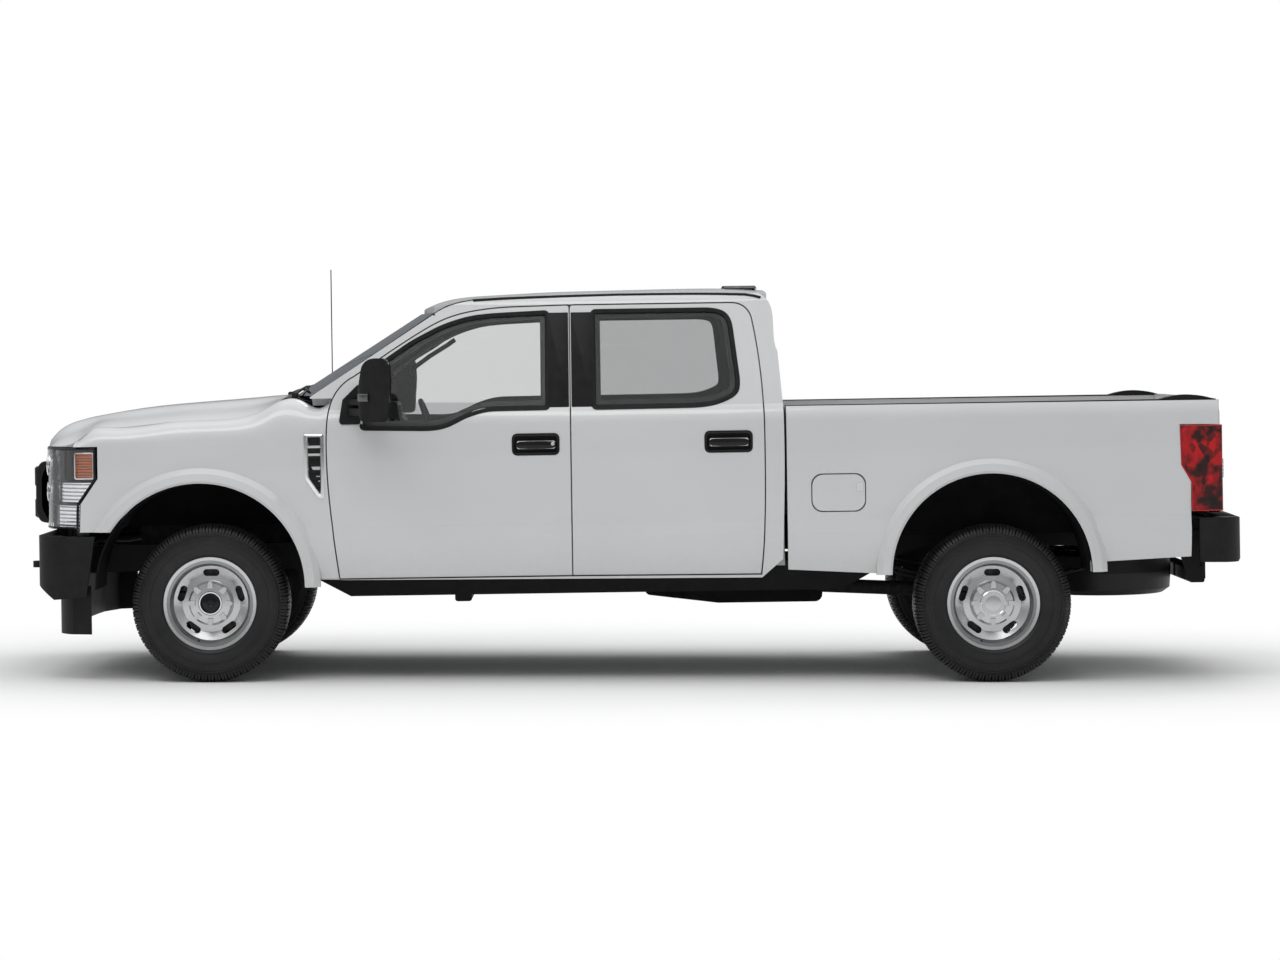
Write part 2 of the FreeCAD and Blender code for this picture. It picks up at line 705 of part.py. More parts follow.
ROOF_STATIONS = [
    (DOOR_X + 455, ROOF_SIDE - 80, CROWN - 110),
    (DOOR_X + 623, ROOF_SIDE - 24, CROWN - 38),
    (DOOR_X + 773, ROOF_SIDE - 4, CROWN - 22),
    (DOOR_X + 1065, ROOF_SIDE + 6, CROWN - 9),
    (DOOR_X + 1600, ROOF_SIDE + 12, CROWN),
    (CAB_X - 260, ROOF_SIDE + 12, CROWN),
    (CAB_X - 64, ROOF_SIDE + 4, CROWN - 12),
]
roof.loft("YZ", [(x, roof_section(edge, centre)) for x, edge, centre in ROOF_STATIONS], name="Panel")
header = [(DOOR_X + 552, -ROOF_Y), ("via", DOOR_X + 470, 0), (DOOR_X + 552, ROOF_Y),
          (DOOR_X + 300, ROOF_Y + 100), (DOOR_X + 300, -ROOF_Y - 100)]
roof.pocket("XY", header, name="Header")

back = Piece("cab_back")
back_line = [
    (CAB_X + 6, CAB_FLOOR - 40),
    (CAB_X + 6, BELT),
    (CAB_X - 14, BELT + 0.4 * PILLAR_RISE),
    (CAB_X - 66, ROOF_SIDE + 20),
    (CAB_X - 66 - 40, ROOF_SIDE + 20),
    (CAB_X - 56, BELT + 0.4 * PILLAR_RISE),
    (CAB_X - 36, BELT),
    (CAB_X - 36, CAB_FLOOR - 40),
]
back.pad("XZ", back_line, -WIDE, WIDE, name="Wall")
g = s.seat_gap
inside_left = [(INNER_Y + CAB_INNER + g, CAB_FLOOR - 60), (INNER_Y + CAB_INNER + g, BELT - 8),
               (glass_y(BELT, s.frame_thickness + CAB_INNER) + g, BELT),
               (-ROOF_Y, ROOF_SIDE + 4 - s.roof_thickness - g)]
under_roof = [("via", 0, CROWN - 12 - s.roof_thickness - g)]
inside_outline = inside_left + under_roof + [(-y, z) for y, z in inside_left[::-1]]
back.trim("YZ", inside_outline, name="BetweenSides")
REAR_GLASS = box_outline(-600, 600, BELT + 40, BELT + 400, 60)
back.pocket("YZ", REAR_GLASS, name="RearWindow")

floor = Piece("cab_floor")
floor_line = [
    (CAB_X - 36.3, CAB_FLOOR),
    (DOOR_X + 260, CAB_FLOOR),
    (DOOR_X + 20, CREASE - 20),
    (DOOR_X + 20, BELT + 30),
    (COWL_X - 150, BELT + 62),
    (COWL_X - 150, BELT + 42),
    (DOOR_X - 14, BELT + 2),
    (DOOR_X - 14, CREASE - 32),
    (DOOR_X + 246, CAB_FLOOR - 34),
    (CAB_X - 36.3, CAB_FLOOR - 34),
]
floor.pad("XZ", floor_line, -INSIDE_Y, INSIDE_Y, name="Pan")
TUNNEL_Y = 200
tunnel = [(DOOR_X - 14, CAB_FLOOR - 34), (DOOR_X - 14, 800), (DOOR_X + 140, 780), (DOOR_X + 880, 710),
          (DOOR_X + 880, CAB_FLOOR - 34)]
floor.pad("XZ", tunnel, -TUNNEL_Y, TUNNEL_Y, name="Tunnel")
floor.pocket("XZ", [(DOOR_X - 200, SILL - 60), (DOOR_X - 200, 780), (DOOR_X + 140, 760),
                    (DOOR_X + 860, 690), (DOOR_X + 860, SILL - 60)], -TUNNEL_Y + 20, TUNNEL_Y - 20,
             name="TunnelRoom")

# Windscreen and rear glass
glass = Piece("windscreen", node=False)


def screen_section(edge_x, centre_x, half):
    t = s.glass_thickness * 1.9
    return [(edge_x, -half), ("via", centre_x, 0), (edge_x, half), (edge_x + t, half),
            ("via", centre_x + t, 0), (edge_x + t, -half)]


SCREEN_LOW = BELT + 72
SCREEN_HIGH = ROOF_SIDE - 75
low_half = -glass_y(SCREEN_LOW, s.frame_thickness + CAB_INNER) - g
high_half = -glass_y(SCREEN_HIGH, s.frame_thickness + CAB_INNER) - g
glass.loft("XY", [(SCREEN_LOW, screen_section(DOOR_X - 87, DOOR_X - 220, low_half)),
                  (SCREEN_HIGH, screen_section(DOOR_X + 548, DOOR_X + 452, high_half))])
rear_pane = Piece("rear_pane", node=False)
rear_pane.pad("XZ", [(CAB_X - 8, BELT), (CAB_X - 28, BELT + 0.4 * PILLAR_RISE),
                     (CAB_X - 76, ROOF_SIDE - 40), (CAB_X - 81, ROOF_SIDE - 40),
                     (CAB_X - 33, BELT + 0.4 * PILLAR_RISE), (CAB_X - 13, BELT)], -700, 700)
rear_pane.trim("YZ", box_outline(-600 + g, 600 - g, BELT + 40 + g, BELT + 400 - g, 60 - g))
together("cab_glass", [glass, rear_pane])

stop_lamp = Piece("stop_lamp", node=False)
ROOF_FALL = (CROWN - ROOF_SIDE - 12) * (330 / ROOF_Y) ** 2
stop_lamp.pad("YZ", [(-330, CROWN - ROOF_FALL + 4), ("via", 0, CROWN + 15), (330, CROWN - ROOF_FALL + 4),
                     (330, CROWN - ROOF_FALL + g), ("via", 0, CROWN + g), (-330, CROWN - ROOF_FALL + g)],
              CAB_X - 270, CAB_X - 100)

# Front fenders: an upright skin with a flared wheel arch, and a crown that curves over to the hood
ARCH_X = -s.front_arch_lead
ARCH_Z = s.arch_height
REAR_ARCH_X = AXLE_X - 7
REAR_ARCH_Z = s.arch_height + s.rear_arch_rise
HOOD_Y = 830
FENDER_SKIN = 12
FENDER_TOP_Y = HOOD_Y + s.shut_gap
FENDER_FRONT_X = NOSE + 255
LAMP_TOP = SHOULDER - 84
CROWN_LOW = LAMP_TOP + 8

# Along the hood's side edge: the station, the edge's height, and how full the fender's crown is there
HOOD_LINE = [
    (FENDER_FRONT_X, SHOULDER - 47, 1.6),
    (NOSE + 327, SHOULDER + 5, 2.0),
    (NOSE + 453, SHOULDER + 21, 2.4),
    (DOOR_X - 791, BELT - 49, 2.7),
    (DOOR_X - 409, BELT - 23, 2.6),
    (DOOR_X - 360, BELT - 7, 2.5),
    (DOOR_X - 305, BELT + 22, 2.5),
    (DOOR_X - 250, BELT + 49, 2.5),
    (DOOR_X - 150, BELT + 55, 2.4),
    (DOOR_X + 18, BELT + 55, 2.4),
]


def flare(piece, x, z, radius):
    """A raised band around a wheel arch, over its upper half."""
    out = WIDE + s.flare_depth
    band = [(radius, -WIDE + 22), (radius, -out + 8), (radius + 12, -out),
            (radius + 0.62 * s.flare_width, -out + 9), (radius + s.flare_width, -WIDE + 8),
            (radius + s.flare_width, -WIDE + 22)]
    return piece.turn("XY", band, z, (x, 0), "V_Axis", -180, name="Flare")


def fender_side_outline():
    """The upright part, from the lamp and bumper back past the door's shut line."""
    return [
        (NOSE + 380, CROWN_LOW + 6),
        (NOSE + 380, SHOULDER - 242),
        (NOSE + 290, CREASE + 136),
        (NOSE + 284, CREASE - 10),
        (NOSE + 440, CREASE - 14),
        (-455, SILL - 10),
        (DOOR_X + 70, SILL),
        (DOOR_X + 70, CROWN_LOW + 6),
    ]


def crown_section(top, fullness):
    """A superellipse quarter from the upright skin over to the hood's edge, and its inner face."""
    half = WIDE - 10 - FENDER_TOP_Y
    rise = top - CROWN_LOW
    turns = [math.radians(a) for a in (0, 22, 42, 60, 76, 90)]
    outer = [(-(FENDER_TOP_Y + half * math.cos(t) ** (2 / fullness)),
              CROWN_LOW + rise * math.sin(t) ** (2 / fullness))
             for t in turns]
    inner = [(y + FENDER_SKIN * math.cos(t), z - 9 * math.sin(t)) for (y, z), t in zip(outer, turns)]
    smooth = [outer[0]] + [("thru", *p) for p in outer[1:-1]] + [outer[-1]]
    return smooth + [inner[-1]] + [("thru", *p) for p in inner[-2:0:-1]] + [inner[0]]


fender = Piece("fender", node=False)
fender_path = lower_path(WIDE, SILL - HEADROOM)[:4] + [
    ("via", -(WIDE - 0.45 * s.crease_inset), (CREASE + CROWN_LOW) / 2), (-(WIDE - 10), CROWN_LOW + 8)]
fender_inner = [(-(WIDE - 10 - FENDER_SKIN), CROWN_LOW + 8),
                (-(WIDE - s.crease_inset - FENDER_SKIN), CREASE),
                (-(WIDE - s.sill_inset - FENDER_SKIN), SILL - HEADROOM)]
fender.pad("YZ", fender_path + fender_inner, NOSE + 250, DOOR_X + 80, name="Skin")
fender.trim("XZ", fender_side_outline(), name="SideView")
fender.loft("YZ", [(x, crown_section(top, fullness)) for x, top, fullness in HOOD_LINE], name="Crown")
fender.pocket("XZ", grown(front_door_outline(), s.shut_gap), name="DoorGap")
flare(fender, ARCH_X, ARCH_Z, s.front_arch_radius)
fender.pocket("XZ", ["circle", (ARCH_X, ARCH_Z), s.front_arch_radius], name="Arch")
fender.pocket("XZ", box_outline(ARCH_X - 900, ARCH_X, ARCH_Z - 300, CREASE - 10), name="BumperRoom")
VENT_DEPTH = 8
vent = [(DOOR_X - 117, SHOULDER - 28, 10), (DOOR_X - 20, SHOULDER - 30, 8), (DOOR_X - 20, CREASE + 150, 8),
        (DOOR_X - 46, CREASE + 154, 10), (DOOR_X - 111, CREASE + 250, 14)]
fender.pocket("XZ", vent, -WIDE - 60, -WIDE + 10 + VENT_DEPTH, name="VentRecess")
for n in range(4):
    low = CREASE + 235 + 58 * n
    fender.pad("XZ", box_outline(DOOR_X - 100, DOOR_X - 30, low, low + 30, 6), -WIDE + 8,
               -WIDE + 10 + VENT_DEPTH + 2, name="Louvre")
fender.pad("XZ", box_outline(DOOR_X - 70, DOOR_X - 34, SILL + 60, SILL + 120, 8), -(WIDE - 19),
           -(WIDE - FENDER_ROOM) - s.seat_gap, name="MountingTab")
both_sides("fenders", fender)

# Liners inside the wheel arches
LINER_SKIN = 8


def liner(label, x, z, radius, inner, outer):
    """A half drum inside a wheel arch."""
    made = Piece(label, node=False)
    made.turn("XY", [(radius, -inner), (radius, -outer), (radius + LINER_SKIN, -outer),
                     (radius + LINER_SKIN, -inner)],
              z, (x, 0), "V_Axis", -180, name="Drum")
    return made


g = s.seat_gap
FRONT_LINER_OUT = WIDE - 27
front_liner = liner("front_liner", ARCH_X, ARCH_Z, s.front_arch_radius - LINER_SKIN - g, 590,
                    FRONT_LINER_OUT)
rear_liner = liner("rear_liner", REAR_ARCH_X, REAR_ARCH_Z, s.rear_arch_radius - 4 - LINER_SKIN - g,
                   WIDE - s.wheelhouse_inset, WIDE - s.sill_inset)
together("wheel_liners", [front_liner, opposite("front_liner_other", front_liner),
                          rear_liner, opposite("rear_liner_other", rear_liner)])

# Hood, hinged at its rear edge: a raised middle between two valleys, cut to its shape in plan
hood = Piece("hood")
HOOD_MIDDLE = [SHOULDER + 69, SHOULDER + 81, SHOULDER + 101, BELT + 37, BELT + 63, BELT + 67, BELT + 70,
               BELT + 73]
HOOD_NOSE = [
    (NOSE + 30, SHOULDER - 183, SHOULDER - 63),
    (NOSE + 85, SHOULDER - 133, SHOULDER + 3),
    (NOSE + 165, SHOULDER - 88, SHOULDER + 47),
]
HOOD_STATIONS = HOOD_NOSE + [(x, edge, middle) for (x, edge, _), middle in zip(HOOD_LINE, HOOD_MIDDLE)]
HOOD_END_X = DOOR_X - 250


def hood_section(edge, middle):
    """A full-width section with a flat side, a step up at the dome and a nearly flat middle."""
    steps = ((1, 0), (0.76, 0.42), (0.58, 0.66), (0.47, 0.87), (0.24, 0.97), (0, 1))
    half = [(-HOOD_Y * across, edge + (middle - edge) * up) for across, up in steps]
    top = half + [(-y, z) for y, z in half[-2::-1]]
    under = [(y, z - s.hood_thickness) for y, z in top]
    return ([top[0]] + [("thru", *p) for p in top[1:-1]] + [top[-1], under[-1]] +
            [("thru", *p) for p in under[-2:0:-1]] + [under[0]])


hood.loft("YZ", [(x, hood_section(edge, middle)) for x, edge, middle in HOOD_STATIONS], name="Panel")
hood_plan_half = [(HOOD_END_X - 1, -HOOD_Y + 0.2), (FENDER_FRONT_X, -HOOD_Y + 0.2),
                  ("thru", NOSE + 155, -785), ("thru", NOSE + 85, -640), ("thru", NOSE + 50, -400)]
hood_plan = hood_plan_half + [("thru", NOSE + 33, 0)] + [moved(i, place_of(i)[0], -place_of(i)[1])
                                                         for i in hood_plan_half[::-1]]
hood.trim("XY", hood_plan, name="PlanView")
hood.pocket("XZ", box_outline(NOSE - 20, NOSE + 365, LAMP_TOP - 200, LAMP_TOP + 6), name="LampGap")

# Front end: radiator support, grille, lamps, bumper and air dam
support = Piece("core_support")
FRONT_RAIL_TOP = s.rail_height_mid + s.rail_section_height + 140
LAMP_Y = s.grille_half_width + 10
HOOD_REST_X = NOSE + 140
HOOD_REST_Y = 480
HOOD_REST_Z = SHOULDER - 42
support.pad("YZ", box_outline(-LAMP_Y + g, LAMP_Y - g, FRONT_RAIL_TOP + g, SHOULDER - 110), NOSE + 104.3,
            NOSE + 160, name="Panel")
support.pocket("YZ", box_outline(-380, 380, FRONT_RAIL_TOP + 60, SHOULDER - 150, 30), NOSE + 130,
               NOSE + 170, name="RadiatorRoom")
for y in (-HOOD_REST_Y, HOOD_REST_Y):
    support.pad("XY", ["circle", (HOOD_REST_X, y), 14], SHOULDER - 120, HOOD_REST_Z, name="HoodRest")

grille = Piece("grille")
GRILLE_Y = s.grille_half_width
GRILLE_LOW = CREASE - 8
GRILLE_HIGH = SHOULDER - 86
BACK = NOSE + 78


def bowed(front, middle, rear, rear_middle):
    """A plan that bows forward in the middle."""
    return [(rear, -GRILLE_Y), (front, -GRILLE_Y), ("via", middle, 0), (front, GRILLE_Y), (rear, GRILLE_Y),
            ("via", rear_middle, 0)]


grille.pad("XY", bowed(BACK, NOSE + 22, BACK + 26, NOSE + 48), GRILLE_LOW, GRILLE_HIGH, name="Screen")
BAR_LOW = (CREASE + 69, CREASE + 251)
ROWS = [(GRILLE_LOW + 22, BAR_LOW[0] - 10)]
MIDDLE_ROOM = BAR_LOW[1] - BAR_LOW[0] - s.grille_bar_height
ROWS += [(BAR_LOW[0] + s.grille_bar_height + 8, BAR_LOW[0] + s.grille_bar_height + MIDDLE_ROOM / 2 - 5),
         (BAR_LOW[0] + s.grille_bar_height + MIDDLE_ROOM / 2 + 5, BAR_LOW[1] - 8)]
COLUMN_PITCH = 2 * (GRILLE_Y - 62) / (s.grille_columns - 1)


def mesh_hole(y, low, high):
    """A long hexagon between two rows of the grille's mesh."""
    half = COLUMN_PITCH / 2 - 6
    middle = (low + high) / 2
    return [(y - half, middle), (y - half + 12, low), (y + half - 12, low), (y + half, middle),
            (y + half - 12, high), (y - half + 12, high)]


holes = grille.pocket("YZ", [mesh_hole(-GRILLE_Y + 62, low, high) for low, high in ROWS], NOSE, NOSE + 140,
                      name="MeshHoles")
grille.repeat_along(holes, 2 * (GRILLE_Y - 62), s.grille_columns, "Y_Axis", bind="sizes.grille_columns")
for low in BAR_LOW:
    grille.pad("XY", bowed(BACK - 30, NOSE - 4, BACK + 10, NOSE + 32), low, low + s.grille_bar_height,
               name="Bar")
    grille.pocket("XY", bowed(BACK - 40, NOSE - 14, BACK - 22, NOSE + 4), low + 28,
                  low + s.grille_bar_height - 28, name="BarGroove")
grille.pad("XY", bowed(BACK - 18, NOSE + 8, BACK + 10, NOSE + 32), GRILLE_HIGH - 36, GRILLE_HIGH,
           name="TopRim")

lamp_piece = Piece("headlamp", node=False)
lens = [(NOSE + 62, -LAMP_Y), ("via", NOSE + 96, -760), (NOSE + 170, -880), ("via", NOSE + 250, -945),
        (NOSE + 362, -(WIDE - 12)), (NOSE + 362, -(WIDE - 70)), (NOSE + 240, -850), (NOSE + 150, -LAMP_Y)]
lamp_piece.pad("XY", lens, CREASE + 8, LAMP_TOP, name="Lamp")
lamp_piece.trim("XZ", [(NOSE, CREASE + 8), (NOSE + 266, CREASE + 8), (NOSE + 270, CREASE + 133),
                       (NOSE + 363, CREASE + 261), (NOSE + 363, LAMP_TOP), (NOSE, LAMP_TOP)],
                name="RearEdge")
both_sides("headlamps", lamp_piece)

bumper = Piece("front_bumper")
BUMPER_TOP = CREASE - 28
BUMPER_LOW = CREASE - 357
bumper_plan = [
    (NOSE + 360, -(WIDE - 2)), (NOSE + 190, -(WIDE - 6)), ("via", NOSE + 90, -(WIDE - 60)),
    (NOSE + 50, -(WIDE - 190)), ("via", NOSE, 0), (NOSE + 50, WIDE - 190), ("via", NOSE + 90, WIDE - 60),
    (NOSE + 190, WIDE - 6), (NOSE + 360, WIDE - 2), (NOSE + 360, WIDE - 40), (NOSE + 200, WIDE - 60),
    (NOSE + 120, WIDE - 230), ("via", NOSE + 75, 0), (NOSE + 120, -(WIDE - 230)),
    (NOSE + 200, -(WIDE - 60)), (NOSE + 360, -(WIDE - 40))]
bumper.pad("XY", bumper_plan, BUMPER_LOW, BUMPER_TOP, name="Bar")
bumper.trim("XZ", [(NOSE + 11, CREASE - 91), (NOSE + 11, CREASE - 239), (NOSE + 27, CREASE - 266),
                   (NOSE + 143, BUMPER_LOW), (NOSE + 312, CREASE - 344), (NOSE + 349, CREASE - 102),
                   (NOSE + 360, CREASE - 33), (NOSE + 48, BUMPER_TOP)],
            name="SideView")
openings = [box_outline(-360, 360, CREASE - 232, CREASE - 150, 24),
            box_outline(-740, -560, CREASE - 240, CREASE - 140, 30),
            box_outline(560, 740, CREASE - 240, CREASE - 140, 30)]
bumper.pocket("YZ", openings, NOSE - 10, NOSE + 180, name="Openings")
HOOK_Y = 450
for y in (-HOOK_Y, HOOK_Y):
    hook = [(NOSE + 70, y - 25), (HOOK_TIP + 25, y - 25), ("via", HOOK_TIP, y), (HOOK_TIP + 25, y + 25),
            (NOSE + 70, y + 25)]
    bumper.pad("XY", [hook, ["circle", (HOOK_TIP + 26, y), 11]], HOOK_Z - 17, HOOK_Z + 17, name="Hook")
dam_plan = [
    (NOSE + 330, -(WIDE - 60)), (NOSE + 230, -(WIDE - 90)), ("via", NOSE + 165, -(WIDE - 170)),
    (NOSE + 150, -(WIDE - 300)), ("via", NOSE + 120, 0), (NOSE + 150, WIDE - 300),
    ("via", NOSE + 165, WIDE - 170), (NOSE + 230, WIDE - 90), (NOSE + 330, WIDE - 60),
    (NOSE + 330, WIDE - 75), (NOSE + 238, WIDE - 105), (NOSE + 170, WIDE - 300), ("via", NOSE + 140, 0),
    (NOSE + 170, -(WIDE - 300)), (NOSE + 238, -(WIDE - 105)), (NOSE + 330, -(WIDE - 75))]
bumper.pad("XY", dam_plan, CREASE - 542, CREASE - 290, name="AirDam")
shelf = [(NOSE + 110, -(WIDE - 230)), ("via", NOSE + 65, 0), (NOSE + 110, WIDE - 230),
         (NOSE + 155, WIDE - 290), ("via", NOSE + 130, 0), (NOSE + 155, -(WIDE - 290))]
bumper.pad("XY", shelf, CREASE - 310, CREASE - 290, name="AirDamShelf")

# Load bed: two thick sides, a ribbed floor with its front wall, and the tailgate
BED_WALL = 135
BED_BOTTOM = SILL + 12
TAILGATE_Y = WIDE - BED_WALL - 8
POST_Y = WIDE - BED_WALL + 20
GATE_X = BED_END - 4
GATE_Z = BED_FLOOR - 14
PIN_RADIUS = 10
side = Piece("bed_side_right_half", node=False)
bed_outer = side_path(WIDE, BED_BOTTOM - 30) + [(-(WIDE - s.belt_inset - 3), BED_TOP)]
bed_inner = [(-(WIDE - BED_WALL), BED_TOP), (-(WIDE - BED_WALL), BED_FLOOR - 30),
             (-(WIDE - 62), BED_FLOOR - 70), (-(WIDE - s.sill_inset - 14), BED_BOTTOM - 30)]
side.pad("YZ", bed_outer + bed_inner, BED_X, BED_END + 60, name="Wall")
side.trim("XZ", [(BED_X, BED_TOP), (BED_X, BED_BOTTOM), (BED_X + 540, BED_BOTTOM - 32),
                 (BED_END - 150, BED_BOTTOM + 38), (BED_END - 148, CREASE + 14),
                 (BED_END - 148, CREASE + 170), (BED_END - 198, CREASE + 256),
                 (BED_END - 203, SHOULDER - 40), (BED_END, SHOULDER - 44), (BED_END, BED_TOP)],
          name="SideView")
flare(side, REAR_ARCH_X, REAR_ARCH_Z, s.rear_arch_radius)
house = [(s.rear_arch_radius - 4, -(WIDE - s.wheelhouse_inset)), (s.rear_arch_radius - 4, -(WIDE - 30)),
         (s.rear_arch_radius + 22, -(WIDE - 30)), (s.rear_arch_radius + 22, -(WIDE - s.wheelhouse_inset))]
side.turn("XY", house, REAR_ARCH_Z, (REAR_ARCH_X, 0), "V_Axis", -180, name="Wheelhouse")
side.pocket("XZ", ["circle", (REAR_ARCH_X, REAR_ARCH_Z), s.rear_arch_radius - 4], name="Arch")
RIB_LOW = BED_FLOOR + 90
side.pocket("XZ", box_outline(BED_X + 60, REAR_ARCH_X - 560, RIB_LOW, BED_TOP - 70, 40),
            -(WIDE - BED_WALL) - 14, -(WIDE - BED_WALL) + 5, name="InnerPanelFront")
side.pocket("XZ", box_outline(REAR_ARCH_X + 560, BED_END - 90, RIB_LOW, BED_TOP - 70, 40),
            -(WIDE - BED_WALL) - 14, -(WIDE - BED_WALL) + 5, name="InnerPanelRear")
side.pad("XZ", box_outline(BED_END - 40, BED_END + 20, CREASE + 5, BED_TOP), -POST_Y, -POST_Y + 20,
         name="Post")
side.pocket("XZ", ["circle", (GATE_X, GATE_Z), PIN_RADIUS + g], -POST_Y - 5, -POST_Y + 25,
            name="TrunnionHole")
FUEL_X = BED_X + 129
FUEL_LENGTH = 272
FUEL_Z = CREASE + 45
FUEL_HEIGHT = 188
FUEL_SKIN = 9
FUEL_STOP_Y = WIDE - 0.55 * s.crease_inset - FUEL_SKIN - g
fuel_outline = box_outline(FUEL_X, FUEL_X + FUEL_LENGTH, FUEL_Z, FUEL_Z + FUEL_HEIGHT, 57)
fuel_room = Piece("fuel_filler_room", node=False)
fuel_room.pad("XZ", grown(fuel_outline, s.shut_gap - 1), -WIDE - 60, -WIDE + 45, name="Room")
filler = doc.addObject("Part::Cut", "bed_side_with_filler")
filler.Base = side.body
filler.Tool = fuel_room.body
FILLER_X = FUEL_X + 0.46 * FUEL_LENGTH
FILLER_Z = FUEL_Z + 0.5 * FUEL_HEIGHT
filler_cap = Piece("fuel_cap_and_stop", node=False)
filler_cap.pad("XZ", ["circle", (FILLER_X, FILLER_Z), 38], -WIDE + 26, -WIDE + 50, name="Cap")
filler_cap.pad("XZ", box_outline(FILLER_X - 7, FILLER_X + 7, FILLER_Z - 34, FILLER_Z + 34, 5), -WIDE + 19,
               -WIDE + 30, name="Grip")
filler_cap.pad("XZ", box_outline(FUEL_X + FUEL_LENGTH - 70, FUEL_X + FUEL_LENGTH - 40, FUEL_Z + 80,
                                 FUEL_Z + 110, 6), -FUEL_STOP_Y,
               -WIDE + 50, name="Stop")
together("bed_sides", [fused("bed_side_left_half", [filler, filler_cap], node=False),
                       opposite("bed_side_other", side)])
fuel = Piece("fuel_door")
fuel.pad("YZ", slab(side_path(WIDE, BED_BOTTOM - 30), FUEL_SKIN), FUEL_X - 10, FUEL_X + FUEL_LENGTH + 10)
fuel.trim("XZ", fuel_outline)

REAR_RAIL_TOP = s.rail_height_rear + 125
bed = Piece("bed_floor")
bed_y = WIDE - BED_WALL - g
FLOOR_END = BED_END - 54
bed.pad("XZ", [(BED_X, BED_FLOOR - 34), (FLOOR_END, BED_FLOOR - 34), (FLOOR_END, BED_FLOOR),
               (BED_X + 40, BED_FLOOR), (BED_X + 40, BED_TOP - 6), (BED_X, BED_TOP - 6)], -bed_y, bed_y,
        name="Pan")
house_room = ["circle", (REAR_ARCH_X, REAR_ARCH_Z), s.rear_arch_radius + 22 + g]
house_y = WIDE - s.wheelhouse_inset
bed.pocket("XZ", house_room, -bed_y - 10, -house_y + g, name="WheelhouseLeft")
bed.pocket("XZ", house_room, house_y - g, bed_y + 10, name="WheelhouseRight")
for x in (BED_X + 690, BED_X + 1450, BED_END - 230):
    bed.pad("XZ", box_outline(x, x + 70, REAR_RAIL_TOP + g, BED_FLOOR - 30), -610, 610, name="Sill")
RIBS_Y = house_y - 60
rib = [(-RIBS_Y - 26, BED_FLOOR - 2), (-RIBS_Y + 26, BED_FLOOR - 2),
       (-RIBS_Y + 18, BED_FLOOR + s.bed_rib_height), (-RIBS_Y - 18, BED_FLOOR + s.bed_rib_height)]
first_rib = bed.pad("YZ", rib, BED_X + 70, FLOOR_END - 20, name="Rib")
bed.repeat_along(first_rib, 2 * RIBS_Y, s.bed_ribs, "Y_Axis", bind="sizes.bed_ribs")

caps = Piece("bed_cap", node=False)
cap_line = [(BED_X - 4, BED_TOP + g), (BED_END - 2, BED_TOP + g), (BED_END - 24, BED_TOP + 8),
            ("thru", BED_END - 75, BED_TOP + 21), (BED_END - 297, BED_TOP + 6), (BED_X - 4, BED_TOP + 3)]
caps.pad("XZ", cap_line, -(WIDE - s.belt_inset - 6), -(WIDE - BED_WALL - 2), name="Cap")
both_sides("bed_rail_caps", caps)

gate = Piece("tailgate")
r = s.tailgate_thickness / 2
gate.pad("XZ", [(GATE_X - r, GATE_Z), ("via", GATE_X, GATE_Z - r), (GATE_X + r, GATE_Z),
                (GATE_X + r - 4, BED_TOP - 60), (GATE_X + r - 22, BED_TOP + 6), (GATE_X - r, BED_TOP + 6)],
         -TAILGATE_Y, TAILGATE_Y, name="Panel")
gate.pocket("YZ", box_outline(-600, 600, BED_FLOOR + 60, BED_TOP - 190, 50), GATE_X + r - 14,
            GATE_X + r + 5, name="OuterRecess")
gate.pocket("YZ", box_outline(-130, 130, BED_TOP - 150, BED_TOP - 85, 20), GATE_X + r - 34, GATE_X + r + 5,
            name="HandleRoom")
gate.pad("YZ", box_outline(-112, 112, BED_TOP - 118, BED_TOP - 92, 10), GATE_X + r - 36, GATE_X + r - 8,
         name="Handle")
gate.pocket("YZ", box_outline(-700, 700, BED_FLOOR + 50, BED_TOP - 60, 40), GATE_X - r - 5,
            GATE_X - r + 10, name="InnerRecess")
for low, high in ((-POST_Y + 3, -TAILGATE_Y + 5), (TAILGATE_Y - 5, POST_Y - 3)):
    gate.pad("XZ", ["circle", (GATE_X, GATE_Z), PIN_RADIUS], low, high, name="Trunnion")

tail = Piece("tail_lamp", node=False)
tail_plan = [(BED_END - 205, -(WIDE + 2)), (BED_END + 10, -(WIDE - 6)), ("via", BED_END + 22, -(WIDE - 14)),
             (BED_END + 23, -(WIDE - 30)), (BED_END + 23, -(POST_Y + g)), (BED_END + g, -(POST_Y + g)),
             (BED_END + g, -(WIDE - 60)), (BED_END - 205, -(WIDE - 60))]
tail.pad("XY", tail_plan, CREASE + 14 + g, SHOULDER - 44 - g, name="Lamp")
tail.trim("XZ", [(BED_END - 148 + g, CREASE + 14), (BED_END + 24, CREASE + 14),
                 (BED_END + 24, SHOULDER - 44), (BED_END - 203 + g, SHOULDER - 44),
                 (BED_END - 198 + g, CREASE + 256), (BED_END - 148 + g, CREASE + 170)],
          name="FrontEdge")
together("rear_lamps", [tail, opposite("tail_lamp_other", tail), stop_lamp])

